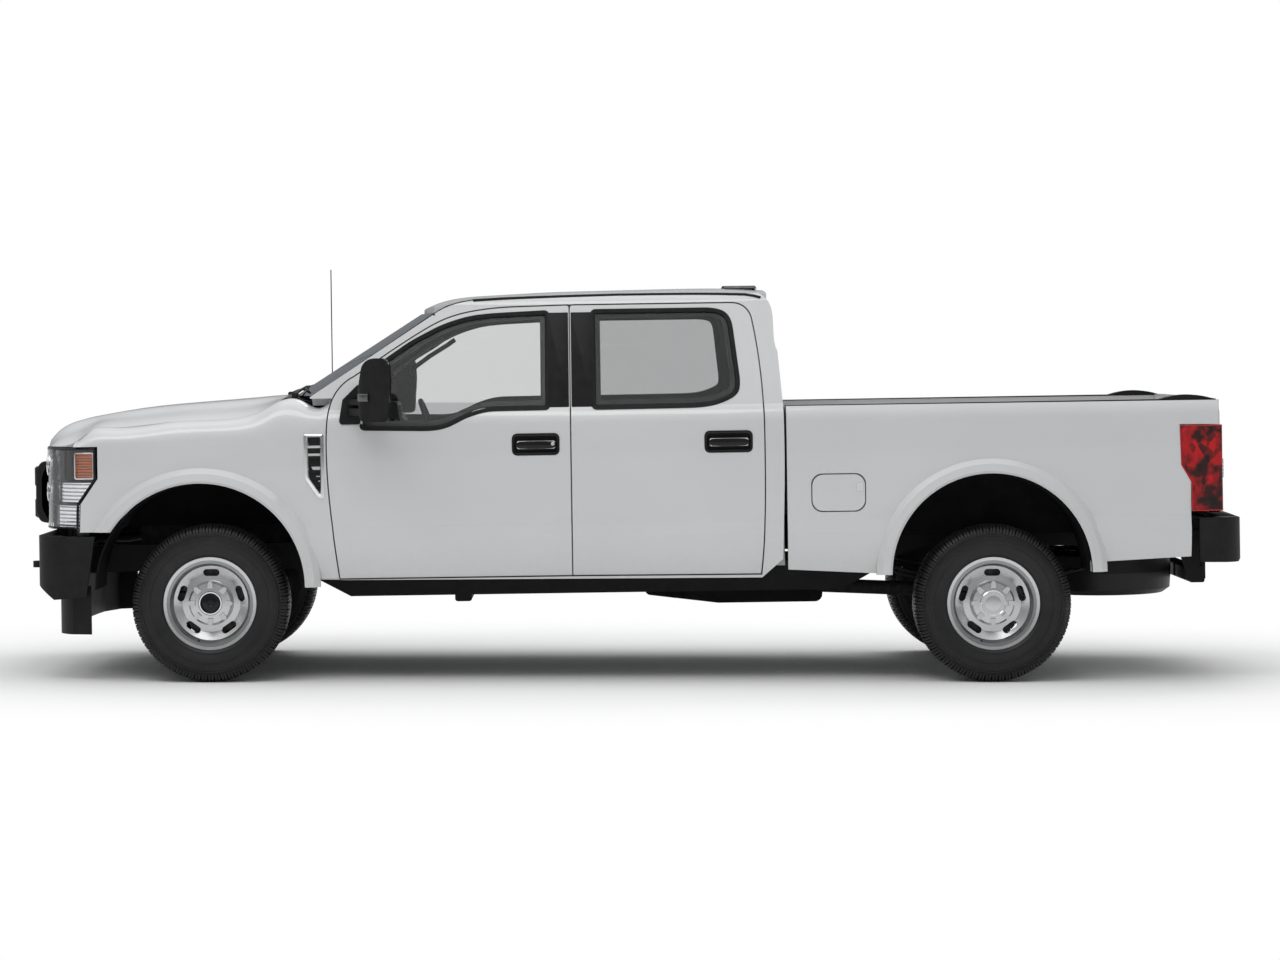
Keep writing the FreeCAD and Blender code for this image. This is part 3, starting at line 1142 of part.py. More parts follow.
rear_bumper = Piece("rear_bumper")
rear_bumper.pad("XZ", [(BED_END - 106, CREASE - 18), (TAIL - 46, CREASE - 18), (TAIL - 40, CREASE - 24),
                       (TAIL, CREASE - 24), (TAIL, CREASE - 53), (TAIL - 12, CREASE - 220),
                       (TAIL - 50, CREASE - 251), (BED_END - 106, CREASE - 248)],
                -WIDE, WIDE, name="Bar")
plan = [(BED_END - 110, -(WIDE - 4)), (TAIL - 120, -(WIDE - 4)), ("via", TAIL - 60, -(WIDE - 60)),
        (TAIL - 30, -(WIDE - 200)), ("via", TAIL, 0), (TAIL - 30, WIDE - 200),
        ("via", TAIL - 60, WIDE - 60), (TAIL - 120, WIDE - 4), (BED_END - 110, WIDE - 4),
        (BED_END - 110, WIDE - 40), (BED_END - 20, WIDE - 60), (BED_END - 20, -(WIDE - 60)),
        (BED_END - 110, -(WIDE - 40))]
rear_bumper.trim("XY", plan, name="Plan")
rear_bumper.pocket("YZ", box_outline(-190, 190, CREASE - 205, CREASE - 60, 16), TAIL - 36, TAIL + 5,
                   name="PlateRecess")
for y in (-560, 560):
    rear_bumper.pocket("YZ", box_outline(y - 190, y + 190, CREASE - 190, CREASE - 96, 24), TAIL - 32,
                       TAIL + 5, name="SideRecess")
rear_bumper.pocket("XZ", box_outline(BED_END - 30, BED_END + 60, CREASE - 260, CREASE - 60, 12),
                   -WIDE + 90, WIDE - 90, name="Hollow")

# Ladder frame with its cross-members, and the hitch receiver bolted under its end
rails = Piece("ladder_frame")
h = s.rail_section_height
mid = s.rail_height_mid
kick = s.rail_height_rear
rail_line = [
    (NOSE + 93.2, mid + 140), (-480, mid + 150), (420, mid + 150), (700, mid), (BED_X + 150, mid),
    ("thru", BED_X + 420, mid + 60), ("thru", BED_X + 640, kick - 30), (BED_X + 860, kick),
    (BED_END - 20 - g, kick), (BED_END - 20 - g, REAR_RAIL_TOP), (BED_X + 640, REAR_RAIL_TOP),
    ("thru", BED_X + 450, kick + 75), ("thru", BED_X + 260, mid + h + 40), (BED_X + 60, mid + h),
    (720, mid + h), (480, FRONT_RAIL_TOP), (NOSE + 93.2, FRONT_RAIL_TOP)]
RAIL_OUT = s.rail_outside
RAIL_IN = s.rail_outside - s.rail_section_width
rails.pad("XZ", rail_line, -RAIL_OUT, -RAIL_IN, name="LeftRail")
rails.pad("XZ", rail_line, RAIL_IN, RAIL_OUT, name="RightRail")
GEARBOX_BOTTOM = mid + 50
SPARE_X = BED_END - 480
SPARE_Z = 452
for x, z, tall in ((NOSE + 110, mid + 180, 90), (DOOR_X + 628, GEARBOX_BOTTOM - 90 - g, 90),
                   (PILLAR_X + 116, mid + 97, 50), (PILLAR_X + 816, mid + 60, 80),
                   (BED_X + 330, mid + 55, 90), (BED_X + 700, kick + 20, 90),
                   (SPARE_X - 45, kick + 20, 90)):
    rails.pad("XZ", box_outline(x, x + 90, z, z + tall, 15), -RAIL_IN - 5, RAIL_IN + 5, name="CrossMember")
for x in (DOOR_X + 138, PILLAR_X - 134, QUARTER_X - 244):
    for y in (-RAIL_OUT + 38, RAIL_OUT - 38):
        rails.pad("XY", ["circle", (x, y), 36], mid + h - 10, CAB_FLOOR - 34 - g, name="CabMount")
SPRING_Y = 540
SPRING_TOP = 715
COIL_RADIUS = 58
for side_y in (-1, 1):
    y = sorted((side_y * (RAIL_OUT - 10), side_y * (SPRING_Y + COIL_RADIUS + 4)))
    rails.pad("XZ", box_outline(-60, 60, SPRING_TOP + g, SPRING_TOP + 12), y[0], y[1], name="SpringSeat")
    y = sorted((side_y * (RAIL_OUT - 12), side_y * RAIL_OUT))
    rails.pad("XZ", box_outline(-60, 60, FRONT_RAIL_TOP - 60, SPRING_TOP + 12), y[0], y[1],
              name="SpringTower")
rails.pad("XY", ["circle", (SPARE_X, 0), 130], SPARE_Z + 20 + g, kick + 25, name="Hoist")

hitch = Piece("hitch_receiver")
RECEIVER_Z = mid + 48
RECEIVER_X = BED_END + 80
HITCH_END = BED_END - 24
BORE = s.receiver_bore / 2
hitch.pad("XZ", box_outline(BED_END - 80, BED_END, RECEIVER_Z - 40, RECEIVER_Z + 40, 12),
          -RAIL_OUT - g - 10, RAIL_OUT + g + 10, name="Bar")
for low in (-RAIL_OUT - g - 12, RAIL_OUT + g):
    hitch.pad("XZ", [(BED_END - 150, kick + 20), (BED_END - 90, RECEIVER_Z - 20),
                     (HITCH_END, RECEIVER_Z - 20), (HITCH_END, kick + 70), (BED_END - 150, kick + 70)],
              low, low + 12, name="Plate")
hitch.pad("YZ", box_outline(-BORE - 9, BORE + 9, RECEIVER_Z - BORE - 9, RECEIVER_Z + BORE + 9, 8),
          BED_END - 60, RECEIVER_X, name="Tube")
hitch.pad("YZ", box_outline(-BORE - 20, BORE + 20, RECEIVER_Z - BORE - 20, RECEIVER_Z + BORE + 20, 12),
          RECEIVER_X - 22, RECEIVER_X, name="Collar")
hitch.pocket("YZ", box_outline(-BORE, BORE, RECEIVER_Z - BORE, RECEIVER_Z + BORE), BED_END - 85,
             RECEIVER_X + 5, name="Socket")
hitch.pocket("XZ", ["circle", (RECEIVER_X - 56, RECEIVER_Z), s.hitch_pin_radius], -60, 60, name="PinHole")

# Engine, gearbox, transfer case and the rear drive shaft
engine = Piece("powertrain_block", node=False)
GEARBOX_END = DOOR_X + 798
engine.pad("XZ", box_outline(-430, 420, 560, 1150, 40), -300, 300, name="Engine")
engine.pad("XZ", [(400, 560), (700, GEARBOX_BOTTOM), (GEARBOX_END, GEARBOX_BOTTOM), (GEARBOX_END, 560),
                  (1200, 660), (400, 730)],
           -165, 165, name="Gearbox")
for low, high in ((-RAIL_IN + g, -295), (295, RAIL_IN - g)):
    engine.pad("XZ", box_outline(-60, 60, FRONT_RAIL_TOP - 90, FRONT_RAIL_TOP - 20), low, high,
               name="Mount")
shaft_line = math.degrees(math.atan2(REAR_AXLE_Z - 477, AXLE_X - 168 - GEARBOX_END))
SHAFT_LENGTH = math.hypot(REAR_AXLE_Z - 477, AXLE_X - 168 - GEARBOX_END)
shaft = Piece("drive_shaft", BODY_PLACE * FreeCAD.Placement(Vec(GEARBOX_END, 0, 485),
                                                            FreeCAD.Rotation(Vec(0, 1, 0), -shaft_line)),
              node=False)
shaft.turn("XZ", [(-20, 0), (-20, 58), (30, 58), (60, 38), (SHAFT_LENGTH - 70, 38),
                  (SHAFT_LENGTH - 40, 52), (SHAFT_LENGTH - 4, 52), (SHAFT_LENGTH - 4, 0)], name="Shaft")
fused("powertrain", [engine, shaft])

tank = Piece("fuel_tank")
TANK_X = PILLAR_X + 380
TANK_TOP = mid + 60 - g
tank.pad("XZ", [(TANK_X, 380, 30), (PILLAR_X + 770, 330, 60), (BED_X + 210, 330, 40),
                (BED_X + 210, TANK_TOP), (TANK_X, TANK_TOP)],
         -RAIL_IN + 12, -120, name="Tank")
for x in (TANK_X + 150, TANK_X + 620):
    tank.pad("XZ", [(x, 300 + 60), (x + 40, 300 + 60), (x + 40, TANK_TOP), (x, TANK_TOP)], -RAIL_IN + 2,
             -RAIL_IN + 14, name="Strap")
spare = Piece("spare_wheel")
spare_profile = [(110, -60), (235, -100), (250, -112), (330, -118), (368, -92), (375, 0), (368, 92),
                 (330, 118), (250, 112), (235, 100), (200, 20), (110, 20)]
spare.turn("XZ", spare_profile, 0, (SPARE_X, SPARE_Z), "V_Axis", 360, name="Wheel")

exhaust = Piece("exhaust")
EXHAUST_Y = 300
EXHAUST_Z = mid + 15
PIPE = 33
MUFFLER_X = PILLAR_X + 250
MUFFLER_LENGTH = 510
exhaust.pad("XZ", box_outline(GEARBOX_END - 50, GEARBOX_END - 10, EXHAUST_Z - 20, EXHAUST_Z + 105, 12),
            165 + g, EXHAUST_Y + 30, name="Branch")
exhaust.pad("YZ", ["circle", (EXHAUST_Y, EXHAUST_Z), PIPE], GEARBOX_END - 30, MUFFLER_X + 10,
            name="FrontPipe")
exhaust.pad("YZ", slot_outline(EXHAUST_Y, EXHAUST_Z, 88, 62), MUFFLER_X, MUFFLER_X + MUFFLER_LENGTH,
            name="Muffler")
exhaust.pad("YZ", ["circle", (EXHAUST_Y, EXHAUST_Z), PIPE], MUFFLER_X + MUFFLER_LENGTH - 10, BED_X + 330,
            name="RearPipe")
exhaust.pad("XZ", box_outline(MUFFLER_X + 50, MUFFLER_X + 80, EXHAUST_Z + 20, mid + 140, 8),
            EXHAUST_Y + 40, RAIL_IN - g, name="Hanger")

# Cabin: seats, console and dashboard
seats = Piece("front_seat", node=False)
SEAT_X = DOOR_X + 698
SEAT_Y = 465
SEAT_HALF = 250
cushion = [(SEAT_X - 20, CAB_FLOOR + 230, 40), (SEAT_X, CAB_FLOOR + 336, 50),
           (SEAT_X + 470, CAB_FLOOR + 296, 20), (SEAT_X + 500, CAB_FLOOR + 190)]
backrest = [(SEAT_X + 440, CAB_FLOOR + 200), (SEAT_X + 560, CAB_FLOOR + 200, 50),
            (SEAT_X + 690, CAB_FLOOR + 740, 60), (SEAT_X + 590, CAB_FLOOR + 770, 50),
            (SEAT_X + 460, CAB_FLOOR + 330)]
headrest = [(SEAT_X + 604, CAB_FLOOR + 790, 30), (SEAT_X + 700, CAB_FLOOR + 775, 30),
            (SEAT_X + 725, CAB_FLOOR + 940, 36), (SEAT_X + 640, CAB_FLOOR + 955, 36)]
seats.pad("XZ", box_outline(SEAT_X + 30, SEAT_X + 460, CAB_FLOOR + g, CAB_FLOOR + 240, 12), -SEAT_Y - 190,
          -SEAT_Y + 190, name="Base")
seats.pad("XZ", cushion, -SEAT_Y - SEAT_HALF, -SEAT_Y + SEAT_HALF, name="Cushion")
seats.pad("XZ", backrest, -SEAT_Y - SEAT_HALF + 8, -SEAT_Y + SEAT_HALF - 8, name="Backrest")
seats.pad("XZ", headrest, -SEAT_Y - 140, -SEAT_Y + 140, name="Headrest")
for y in (-SEAT_Y - 60, -SEAT_Y + 60):
    seats.pad("XZ", [(SEAT_X + 632, CAB_FLOOR + 740), (SEAT_X + 646, CAB_FLOOR + 740),
                     (SEAT_X + 664, CAB_FLOOR + 800), (SEAT_X + 650, CAB_FLOOR + 800)], y - 7, y + 7,
              name="HeadrestPost")
bench = Piece("rear_bench", node=False)
BENCH_X = PILLAR_X + 406
BENCH_HALF = 700
BENCH_BACK = CAB_X - 36 - g - 30
bench.pad("XZ", box_outline(BENCH_X + 60, BENCH_BACK - 60, CAB_FLOOR + g, CAB_FLOOR + 200),
          -BENCH_HALF + 60, BENCH_HALF - 60, name="Base")
bench.pad("XZ", [(BENCH_X, CAB_FLOOR + 200, 30), (BENCH_X, CAB_FLOOR + 308, 50),
                 (BENCH_X + 450, CAB_FLOOR + 280), (BENCH_X + 450, CAB_FLOOR + 190)],
          -BENCH_HALF, BENCH_HALF, name="Cushion")
bench.pad("XZ", [(BENCH_X + 420, CAB_FLOOR + 200), (BENCH_BACK - 30, CAB_FLOOR + 200),
                 (BENCH_BACK, CAB_FLOOR + 800, 40), (BENCH_BACK - 90, CAB_FLOOR + 800, 50),
                 (BENCH_X + 440, CAB_FLOOR + 330)], -BENCH_HALF, BENCH_HALF, name="Backrest")
for y in (-470, 0, 470):
    bench.pad("XZ", box_outline(BENCH_BACK - 92, BENCH_BACK - 6, CAB_FLOOR + 770, CAB_FLOOR + 950, 30),
              y - 130, y + 130, name="Headrest")
together("seats", [seats, opposite("front_seat_other", seats), bench])

dash = Piece("dashboard_panel", node=False)
DASH_X = DOOR_X + 20 + g
DASH_Y = 770
WHEEL_Y = -400
dash.pad("XZ", [(DASH_X, 1100), (DOOR_X + 258, 990, 30), (DOOR_X + 330, 1150, 40),
                (DOOR_X + 315, 1350, 40), (DOOR_X + 138, 1412), (DASH_X, 1400)], -DASH_Y, DASH_Y,
         name="Panel")
dash.pad("XZ", [(DOOR_X + 180, 1340), (DOOR_X + 352, 1340, 14), (DOOR_X + 345, 1432, 24),
                (DOOR_X + 170, 1424)], WHEEL_Y - 190, WHEEL_Y + 190,
         name="InstrumentHood")
dash.pocket("YZ", box_outline(WHEEL_Y - 165, WHEEL_Y + 165, 1300, 1410, 30), DOOR_X + 318, DOOR_X + 360,
            name="InstrumentRoom")
dash.pad("XZ", [(DOOR_X + 200, 1000), (DOOR_X + 330, 1010), (DOOR_X + 362, 1330, 20),
                (DOOR_X + 260, 1370)], -150, 150, name="CentreStack")
dash.pocket("YZ", box_outline(-120, 120, 1210, 1310, 14), DOOR_X + 350, DOOR_X + 370, name="ScreenRoom")
dash.pocket("YZ", box_outline(250, 640, 1040, 1180, 26), DOOR_X + 312, DOOR_X + 340, name="GloveBox")
dash.pad("XZ", [(DOOR_X + 278, 1150), (DOOR_X + 508, 1235), (DOOR_X + 496, 1268), (DOOR_X + 278, 1190)],
         WHEEL_Y - 25, WHEEL_Y + 25, name="Column")
STEER_PLACE = BODY_PLACE * FreeCAD.Placement(Vec(DOOR_X + 500, WHEEL_Y, 1250.5),
                                             FreeCAD.Rotation(Vec(0, 1, 0), 70))
steering = Piece("steering_wheel", STEER_PLACE, node=False)
RIM_MIDDLE = 185
GRIP = 13
ring = [(RIM_MIDDLE + GRIP * math.cos(math.radians(a)), 24 + GRIP * math.sin(math.radians(a)))
        for a in range(0, 360, 60)]
steering.turn("XZ", ring, 0, (0, 0), "V_Axis", 360, name="Rim")
steering.pad("XY", ["circle", (0, 0), 66], -14, 34, name="Boss")
steering.pad("XY", box_outline(-20, 20, -RIM_MIDDLE, RIM_MIDDLE, 8), 14, 28, name="Spokes")
steering.pad("XY", box_outline(0, RIM_MIDDLE, -18, 18, 8), 14, 28, name="LowerSpoke")
fused("dashboard", [dash, steering])

# Steering, axles, wheels and springs, on level axle centres
KING_Y = s.front_track / 2 - s.kingpin_offset
ARM_X = -135
ARM_Z = -108
ROD_Z = -140
EAR_GAP = 62
front_axle = Piece("front_axle", FRONT_PLACE, node=False)
tube = s.axle_tube_radius
beam = [(0, -(KING_Y - 52)), (tube, -(KING_Y - 52)), (tube, -180), (92, -110), (118, -20), (118, 20),
        (92, 110), (tube, 180), (tube, KING_Y - 52), (0, KING_Y - 52)]
front_axle.turn("XY", beam, 0, (0, 0), "V_Axis", 360, name="Beam")
for sign in (-1, 1):
    yoke_y = [sign * (KING_Y - 70), sign * (KING_Y - 44)]
    front_axle.pad("XZ", box_outline(-38, 38, -90, 90), min(yoke_y), max(yoke_y), name="Yoke")
    ear = [(-38, sign * (KING_Y - 60)), (-38, sign * KING_Y), ("via", 0, sign * (KING_Y + 38)),
           (38, sign * KING_Y), (38, sign * (KING_Y - 60))]
    front_axle.pad("XY", ear, EAR_GAP, 90, name="UpperEar")
    front_axle.pad("XY", ear, -90, -EAR_GAP, name="LowerEar")

knuckle = Piece("knuckle_left", FRONT_PLACE)
knuckle.pad("XY", ["circle", (0, -KING_Y), 34], -(EAR_GAP - g), EAR_GAP - g, name="KingPost")
knuckle.pad("XY", box_outline(-30, 30, -KING_Y - 65, -KING_Y), -50, 50, name="Web")
knuckle.pad("XZ", box_outline(-55, 55, -122, 105, 15), -KING_Y - 68, -KING_Y - 44, name="Upright")
knuckle.pad("XY", [(ARM_X - 20, -KING_Y - 20), (ARM_X - 20, -KING_Y + 20), (ARM_X + 24, -KING_Y + 24),
                   (-40, -KING_Y - 46), (-40, -KING_Y - 68), (ARM_X, -KING_Y - 62)], ARM_Z - 12,
            ARM_Z + 12, name="Arm")
knuckle.pocket("XY", ["circle", (ARM_X, -KING_Y), 10], ARM_Z - 30, ARM_Z + 30, name="PinHole")
knuckle.pad("XZ", ["circle", (0, 0), s.spindle_radius], -KING_Y - 168, -KING_Y - 60, name="Spindle")
mirrored("knuckle_right", knuckle)

rod = Piece("tie_rod", FRONT_PLACE)
rod.pad("XZ", ["circle", (ARM_X, ROD_Z), 14], -KING_Y - 14, KING_Y + 14, name="Rod")
for y in (-KING_Y, KING_Y):
    rod.pad("XY", ["circle", (ARM_X, y), 9.7], ROD_Z, ARM_Z + 16, name="Pin")

rear_axle = Piece("rear_axle", REAR_PLACE, node=False)
half = s.rear_track / 2
pin = s.spindle_radius
beam = [(0, -half - 40), (pin, -half - 40), (pin, -half + 60), (tube, -half + 60), (tube, -230),
        (78, -190), (140, -110), (165, -30), (165, 30), (140, 110), (78, 190), (tube, 230),
        (tube, half - 60), (pin, half - 60), (pin, half + 40), (0, half + 40)]
rear_axle.turn("XY", beam, 0, (0, 0), "V_Axis", 360, name="Beam")
together("axles", [front_axle, rear_axle])

HUB_BORE = pin + 0.05


def build_wheel(label, place, closed_hub):
    """A steel wheel with a slotted disc, a hub cap with lug bumps and a tyre."""
    rim = Piece("rim_" + label, place)
    flange = s.rim_radius + 11
    w = s.rim_width / 2
    cap = s.hub_cap_radius
    profile = [
        (HUB_BORE, -70), (62, -70), (62, -92), (cap - 9, -88), (cap, -74), (cap + 5, -46), (150, -40),
        (193, -60), (202, -78), (208, -w - 4), (flange, -w - 8), (flange, -w), (s.rim_radius, -w + 4),
        (s.rim_radius, w - 4), (flange, w), (flange, w + 8), (216, w), (214, -62), (194, -44), (150, -26),
        (112, -30), (100, 34), (HUB_BORE, 34)]
    rim.turn("XY", profile, 0, (0, 0), "V_Axis", 360, name="Rim")
    slot = rim.pocket("XZ", slot_outline(0, 157, 42, 18), -110, 0, name="Slot")
    rim.repeat_round(slot, s.wheel_slots, bind="sizes.wheel_slots")
    lug = rim.pad("XZ", [(-14, cap - 34), (-12, cap - 10), ("via", 0, cap + 2), (12, cap - 10),
                         (14, cap - 34)], -103, -84, name="Lug")
    rim.repeat_round(lug, s.wheel_lugs, bind="sizes.wheel_lugs")
    if closed_hub:
        rim.pad("XZ", ["circle", (0, 0), 62.5], -100, -68, name="HubCap")
    tyre = Piece("tyre_" + label, place)
    bead = s.rim_radius + g
    wide = s.tyre_width / 2
    tread = s.tyre_radius
    tyre.turn("XY", [
        (bead, w - 5), (bead, -w + 5), (flange + g, -w + 5), (flange + g, -w - 8),
        (0.6 * flange + 0.4 * tread, -wide), (tread - 42, -wide + 4), (tread, -wide + 42),
        (tread, wide - 42), (tread - 42, wide - 4), (0.6 * flange + 0.4 * tread, wide),
        (flange + g, w + 8), (flange + g, w - 5)], 0, (0, 0), "V_Axis", 360, name="Tyre")
    return rim, tyre


for end, place, track in (("front", FRONT_PLACE, s.front_track), ("rear", REAR_PLACE, s.rear_track)):
    centre = FreeCAD.Placement(place.Base + Vec(0, -track / 2, 0), FreeCAD.Rotation())
    rim, tyre = build_wheel(end + "_left", centre, end == "rear")
    mirrored("rim_" + end + "_right", rim)
    mirrored("tyre_" + end + "_right", tyre)

coil = Piece("spring_front", node=False)
COIL_LOW = s.tyre_radius + tube + g
COIL_PITCH = (SPRING_TOP - COIL_LOW) / s.coil_turns
turns = []
for n in range(int(s.coil_turns)):
    low = COIL_LOW + n * COIL_PITCH
    turns += [(COIL_RADIUS, low), (COIL_RADIUS, low + 0.45 * COIL_PITCH),
              (COIL_RADIUS - 15, low + 0.6 * COIL_PITCH), (COIL_RADIUS - 15, low + 0.85 * COIL_PITCH)]
coil.turn("XZ", [(0, COIL_LOW)] + turns + [(COIL_RADIUS - 4, SPRING_TOP), (0, SPRING_TOP)], SPRING_Y,
          (0, 0), "V_Axis", 360, name="Coil")
leaf = Piece("leaf_spring", node=False)
LEAF_LOW = REAR_AXLE_Z + tube + g
LEAF_END = kick - 40
LEAF_FRONT = AXLE_X - 640
LEAF_REAR = AXLE_X + 760
LEAF_THICK = 11.5
leaf.pad("XZ", [(LEAF_FRONT, LEAF_END), ("via", AXLE_X, LEAF_LOW + (s.spring_leaves - 1) * LEAF_THICK),
                (LEAF_REAR, LEAF_END), (LEAF_REAR, LEAF_END + LEAF_THICK),
                ("via", AXLE_X, LEAF_LOW + s.spring_leaves * LEAF_THICK),
                (LEAF_FRONT, LEAF_END + LEAF_THICK)], -580, -505, name="MainLeaf")
SAG = LEAF_END - LEAF_LOW - (s.spring_leaves - 1) * LEAF_THICK


def leaf_rise(x):
    """How far the main leaf has curved up from its middle at a station."""
    return SAG * ((x - AXLE_X) / (LEAF_REAR - AXLE_X - 60)) ** 2


for n in range(1, int(s.spring_leaves)):
    reach = 600 - 130 * n
    top = LEAF_LOW + (s.spring_leaves - n) * LEAF_THICK + 0.3
    end_top = top + leaf_rise(AXLE_X + reach)
    leaf.pad("XZ", [(AXLE_X - reach, end_top - LEAF_THICK), ("via", AXLE_X, top - LEAF_THICK),
                    (AXLE_X + reach, end_top - LEAF_THICK), (AXLE_X + reach, end_top),
                    ("via", AXLE_X, top), (AXLE_X - reach, end_top)], -578, -507, name="Leaf")
leaf.pad("XZ", box_outline(AXLE_X - 60, AXLE_X + 60, LEAF_LOW,
                           LEAF_LOW + s.spring_leaves * LEAF_THICK + 14, 6), -584, -501, name="Clamp")
for x in (LEAF_FRONT, LEAF_REAR - 25):
    leaf.pad("XZ", box_outline(x - 25, x + 50, LEAF_END - 10, kick + 40, 10), -560, -RAIL_OUT - g,
             name="Hanger")
together("springs", [coil, opposite("coil_other", coil), leaf, opposite("leaf_other", leaf)])

# Antenna on the right fender
antenna = Piece("antenna")
ANTENNA_X = DOOR_X - 105
ANTENNA_Y = FENDER_TOP_Y + 25
ANTENNA_FOOT_Z = BELT + 38
antenna.pad("XY", ["circle", (ANTENNA_X, ANTENNA_Y), 12], ANTENNA_FOOT_Z, BELT + 70, name="Foot")
antenna.pad("XY", ["circle", (ANTENNA_X, ANTENNA_Y), 3], BELT + 66, CROWN + 155, name="Mast")

doc.recompute()
for item in doc.Objects:
    if "Invalid" in item.State or "Error" in item.State:
        raise RuntimeError("cannot build " + item.Label)
os.makedirs("parts", exist_ok=True)
for label, node in NODES.items():
    if node.Shape.isNull() or not node.Shape.isValid():
        raise RuntimeError("no valid shape for " + label)
    node.Shape.exportStep("parts/" + label + ".step")
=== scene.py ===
"""Looks of the pickup truck: materials, lamps, tread, seals, seats and small trim around the CAD frame."""
import json
import math

import bmesh
import bpy
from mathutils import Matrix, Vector
from mathutils.bvhtree import BVHTree


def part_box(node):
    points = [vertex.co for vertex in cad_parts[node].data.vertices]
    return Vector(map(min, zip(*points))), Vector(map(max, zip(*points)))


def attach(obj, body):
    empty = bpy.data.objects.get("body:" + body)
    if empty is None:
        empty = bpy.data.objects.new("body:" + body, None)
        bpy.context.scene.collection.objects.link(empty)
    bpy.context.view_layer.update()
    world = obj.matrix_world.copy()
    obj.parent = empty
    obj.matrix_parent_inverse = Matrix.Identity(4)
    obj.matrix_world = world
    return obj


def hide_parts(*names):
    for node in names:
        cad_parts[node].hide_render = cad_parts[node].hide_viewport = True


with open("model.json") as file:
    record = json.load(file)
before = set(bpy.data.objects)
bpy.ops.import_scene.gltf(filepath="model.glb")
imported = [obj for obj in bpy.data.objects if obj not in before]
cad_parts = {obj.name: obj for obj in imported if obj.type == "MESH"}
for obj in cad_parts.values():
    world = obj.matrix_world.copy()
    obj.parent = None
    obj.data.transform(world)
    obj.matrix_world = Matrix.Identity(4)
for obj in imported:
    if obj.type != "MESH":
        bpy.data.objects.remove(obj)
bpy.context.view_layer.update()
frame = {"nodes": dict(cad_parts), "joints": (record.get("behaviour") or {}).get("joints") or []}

NODES = frame["nodes"]
SCENE = bpy.context.scene

# The truck's own directions. Body points are in millimetres: back from the front axle, to the side, and up.
JOINTS = {j["name"]: j for j in frame["joints"]}
upright = Vector(JOINTS["door_front_right_hinge"]["axis"])
RAKE = math.atan2(-upright.x, upright.z)


def middle(node):
    low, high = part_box(node)
    return (Vector(low) + Vector(high)) / 2


WHEELS = {f"{end}_{side}": middle(f"tyre_{end}_{side}")
          for end in ("front", "rear") for side in ("left", "right")}
FRONT_X = WHEELS["front_left"].x


def at(x, y, z):
    """The row-frame point, in metres, of a body point in millimetres."""
    x, y, z = x / 1000, y / 1000, z / 1000
    return Vector((FRONT_X + x * math.cos(RAKE) - z * math.sin(RAKE), y,
                   x * math.sin(RAKE) + z * math.cos(RAKE)))


def body_point(p):
    """The body point in millimetres of a row-frame point, the reverse of at()."""
    dx, dz = p.x - FRONT_X, p.z
    return (1000 * (dx * math.cos(RAKE) + dz * math.sin(RAKE)), 1000 * p.y,
            1000 * (dz * math.cos(RAKE) - dx * math.sin(RAKE)))


def outward(sign):
    """Body points whose y counts outward from the middle of the truck on one side."""
    return lambda x, y, z: at(x, sign * y, z)


SIDES = (("left", -1), ("right", 1))

# Stations and heights that the trim is set by, in body millimetres
NOSE, DOOR_X, PILLAR_X, QUARTER_X, CAB_X, BED_END, TAIL = -945, 622, 1884, 2884, 2985, 5235, 5389
CAB_FLOOR, CREASE, BED_FLOOR, SHOULDER, BED_TOP, BELT, WINDOW_TOP = 592, 795, 849, 1303, 1385, 1399, 1887
# Each wheel arch, by its centre's station, its centre's height and its radius
FRONT_ARCH = (-44, 486, 545)
REAR_ARCH = (4052, 506, 517)
# How far out the body side is at each height
SIDE_SECTION = [(527, 945), (560, 958), (600, 969), (650, 978), (700, 984), (731, 985), (760, 978.5),
                (795, 971), (840, 975.5), (920, 979.5), (1049, 980.8), (1180, 979.8), (1303, 977),
                (1335, 972), (1361, 965.2), (1380, 956), (BELT, 940)]
GLASS_LEAN = 162 / 525


def spaced(first, last, steps):
    """Values evenly spaced from the first to the last."""
    return [first + (last - first) * k / steps for k in range(steps + 1)]


def slope(points, place):
    """Reads a value off a list of (place, value) pairs."""
    for (x0, y0), (x1, y1) in zip(points, points[1:]):
        if place <= x1:
            return y0 + (y1 - y0) * max(0.0, place - x0) / (x1 - x0)
    return points[-1][1]


def skin_y(z):
    """How far out the body side is at a height: the panel section, then the plane of the side glass."""
    return 940 - GLASS_LEAN * (z - BELT) if z >= BELT else slope(SIDE_SECTION, z)


# Materials
def grey(v):
    return (v, v, v)


def dimmed(colour, by):
    return tuple(by * c for c in colour)


